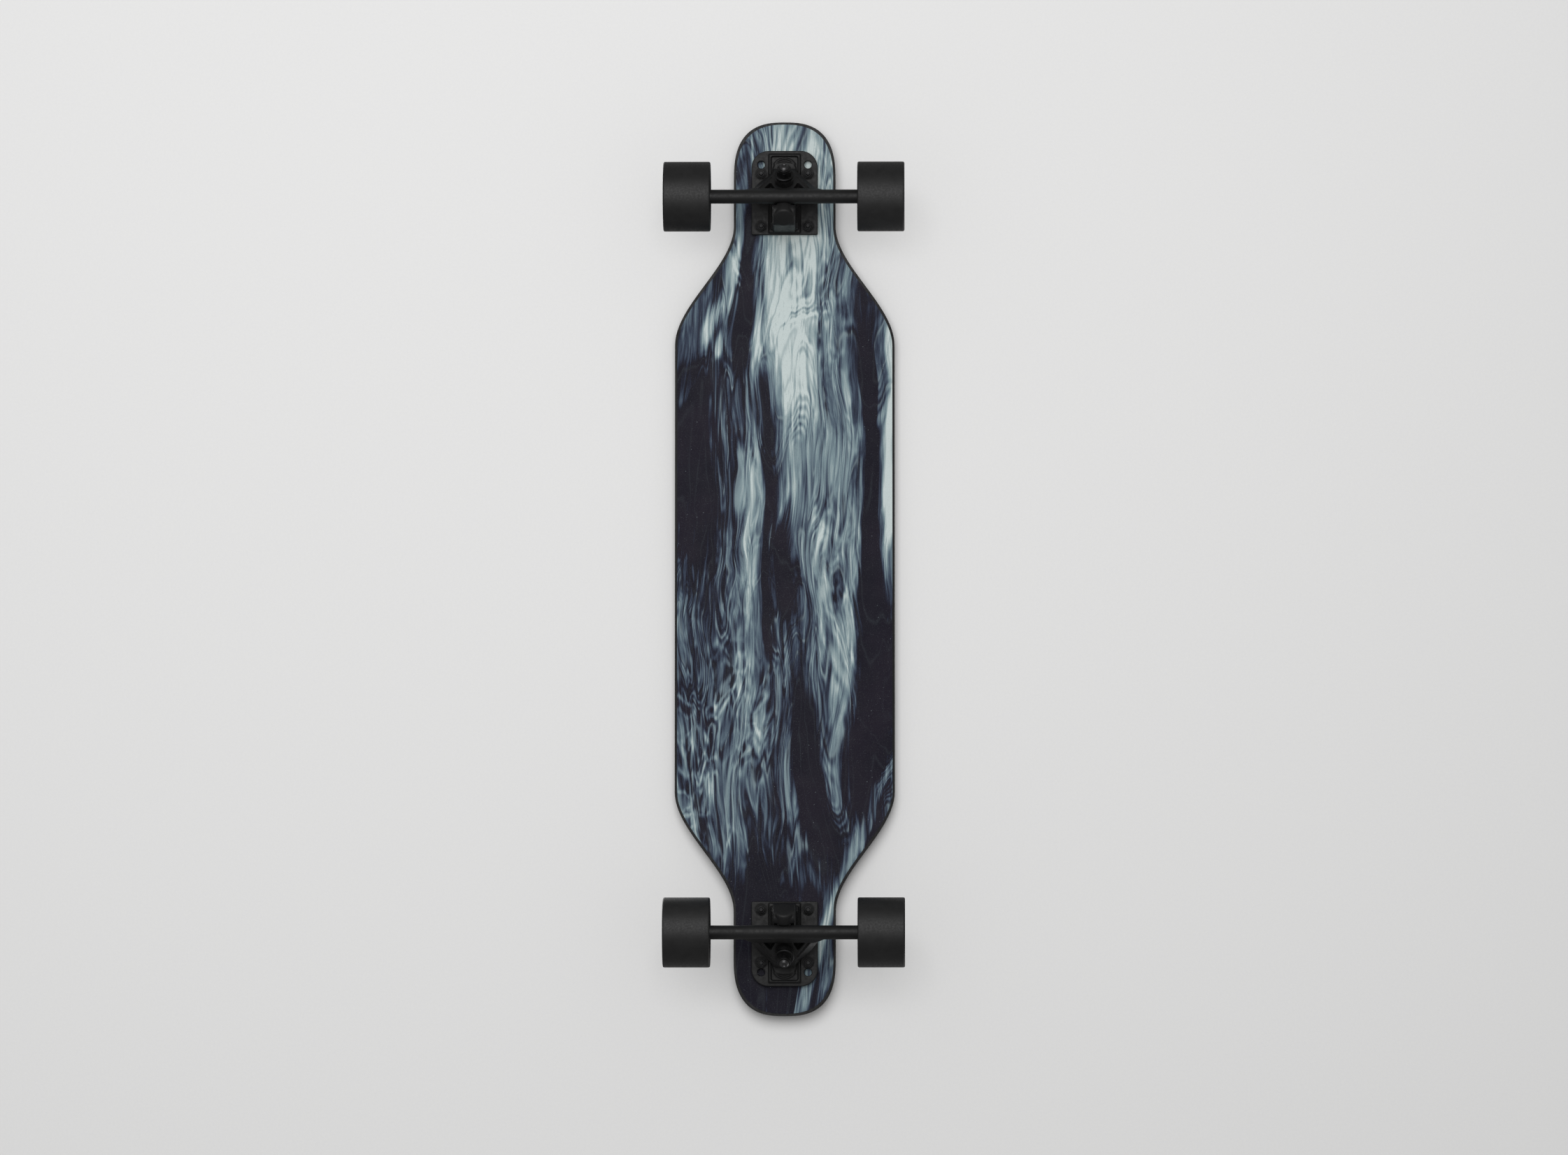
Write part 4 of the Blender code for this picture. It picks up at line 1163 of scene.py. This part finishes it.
# ------------------------------------------------------------------ stage and lights
def one_sided(name, colour, grain, glow=0.0):
    """A pale surface seen from its front only, so that the board can be looked at from both sides; a painted falloff of
    light runs across its colour.
    """
    m = Nodes(name)
    tree = m.tree
    x, y, z = m.xyz()
    speck = m.noise(m.here, 420.0, 3.0, 0.6)
    # Painted light: the colour rises towards +X and falls towards +Y, as if the lamps lit the surface unevenly. The
    # speck is the surface's own grain. The floor's glow carries the same painted falloff.
    painted_light_falloff = m.math("ADD", m.math("MULTIPLY", x, 0.030), m.math("MULTIPLY", y, -0.022))
    grain_and_painted_falloff = m.math("ADD", m.math("MULTIPLY_ADD", speck, grain, 1.0 - grain / 2), painted_light_falloff)
    tint = m.vector("SCALE", colour, scale=grain_and_painted_falloff)
    m.set(m.shader.inputs["Base Color"], tint)
    m.shader.inputs["Roughness"].default_value = 0.85
    m.shader.inputs["Specular IOR Level"].default_value = 0.1
    if glow:
        m.set(m.shader.inputs["Emission Color"], tint)
        m.shader.inputs["Emission Strength"].default_value = glow
    clear = tree.nodes.new("ShaderNodeBsdfTransparent")
    facing = tree.nodes.new("ShaderNodeNewGeometry")
    mixer = tree.nodes.new("ShaderNodeMixShader")
    tree.links.new(facing.outputs["Backfacing"], mixer.inputs["Fac"])
    tree.links.new(m.shader.outputs[0], mixer.inputs[1])
    tree.links.new(clear.outputs[0], mixer.inputs[2])
    tree.links.new(mixer.outputs[0], tree.nodes["Material Output"].inputs["Surface"])
    return m.material


def plane(name, size, z, face_up, mat):
    shaped = bmesh.new()
    bmesh.ops.create_grid(shaped, x_segments=2, y_segments=2, size=size / 2)
    for face in shaped.faces:
        if (face.normal.z > 0) != face_up:
            face.normal_flip()
    bmesh.ops.translate(shaped, verts=shaped.verts, vec=(0, 0, z))
    mesh = bpy.data.meshes.new(name)
    shaped.to_mesh(mesh)
    shaped.free()
    obj = add(name, mesh, mat)
    obj.visible_shadow = False
    obj.visible_diffuse = False
    obj.visible_glossy = False
    return obj


top_of_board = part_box("grip_tape")[1].z
plane("wall_behind", 12.0, top_of_board + 0.0012, False, one_sided("pale_wall", (0.80, 0.80, 0.80), 0.05))
plane("floor", 12.0, -0.0005, True, one_sided("pale_floor", (0.62, 0.62, 0.62), 0.04, 0.42))

world = bpy.data.worlds.new("studio")
bpy.context.scene.world = world
world.use_nodes = True
world.node_tree.nodes["Background"].inputs["Color"].default_value = (1.0, 0.995, 0.985, 1.0)
world.node_tree.nodes["Background"].inputs["Strength"].default_value = 0.34


def area(name, location, target, size, power, colour=(1, 1, 1)):
    data = bpy.data.lights.new(name, "AREA")
    data.shape = "DISK"
    data.size = size
    data.energy = power
    data.color = colour
    obj = bpy.data.objects.new(name, data)
    bpy.context.scene.collection.objects.link(obj)
    obj.location = location
    obj.rotation_euler = (Vector(target) - Vector(location)).to_track_quat("-Z", "Y").to_euler()
    return obj


key = area("soft_below", (1.05, -0.30, -3.3), (0, 0, 0.1), 2.8, 77.0)
front = area("front_below", (-0.1, 0.1, -3.6), (0, 0, 0.1), 2.4, 14.0)
# The wheels stand well off the wall, and in this light they leave no shadow on it.
unshadowed = bpy.data.collections.new("no_wheel_shadow")
for obj in list(bpy.context.scene.objects):
    if obj.type == "MESH" and obj.name.endswith(("_cast_tyre", "_moulded_core", "_axle_rod")):
        unshadowed.objects.link(obj)
for item in unshadowed.collection_objects:
    item.light_linking.link_state = "EXCLUDE"
for light in (key, front):
    light.light_linking.blocker_collection = unshadowed

area("soft_above", (0.9, -1.2, 2.4), (0, 0, 0.1), 1.8, 44.0)
area("fill_above", (-1.6, 1.6, 1.4), (0, 0, 0.05), 1.4, 14.0)

scene = bpy.context.scene
scene.view_settings.view_transform = "Standard"
scene.view_settings.look = "None"
scene.view_settings.exposure = 0.0
scene.view_settings.gamma = 1.0
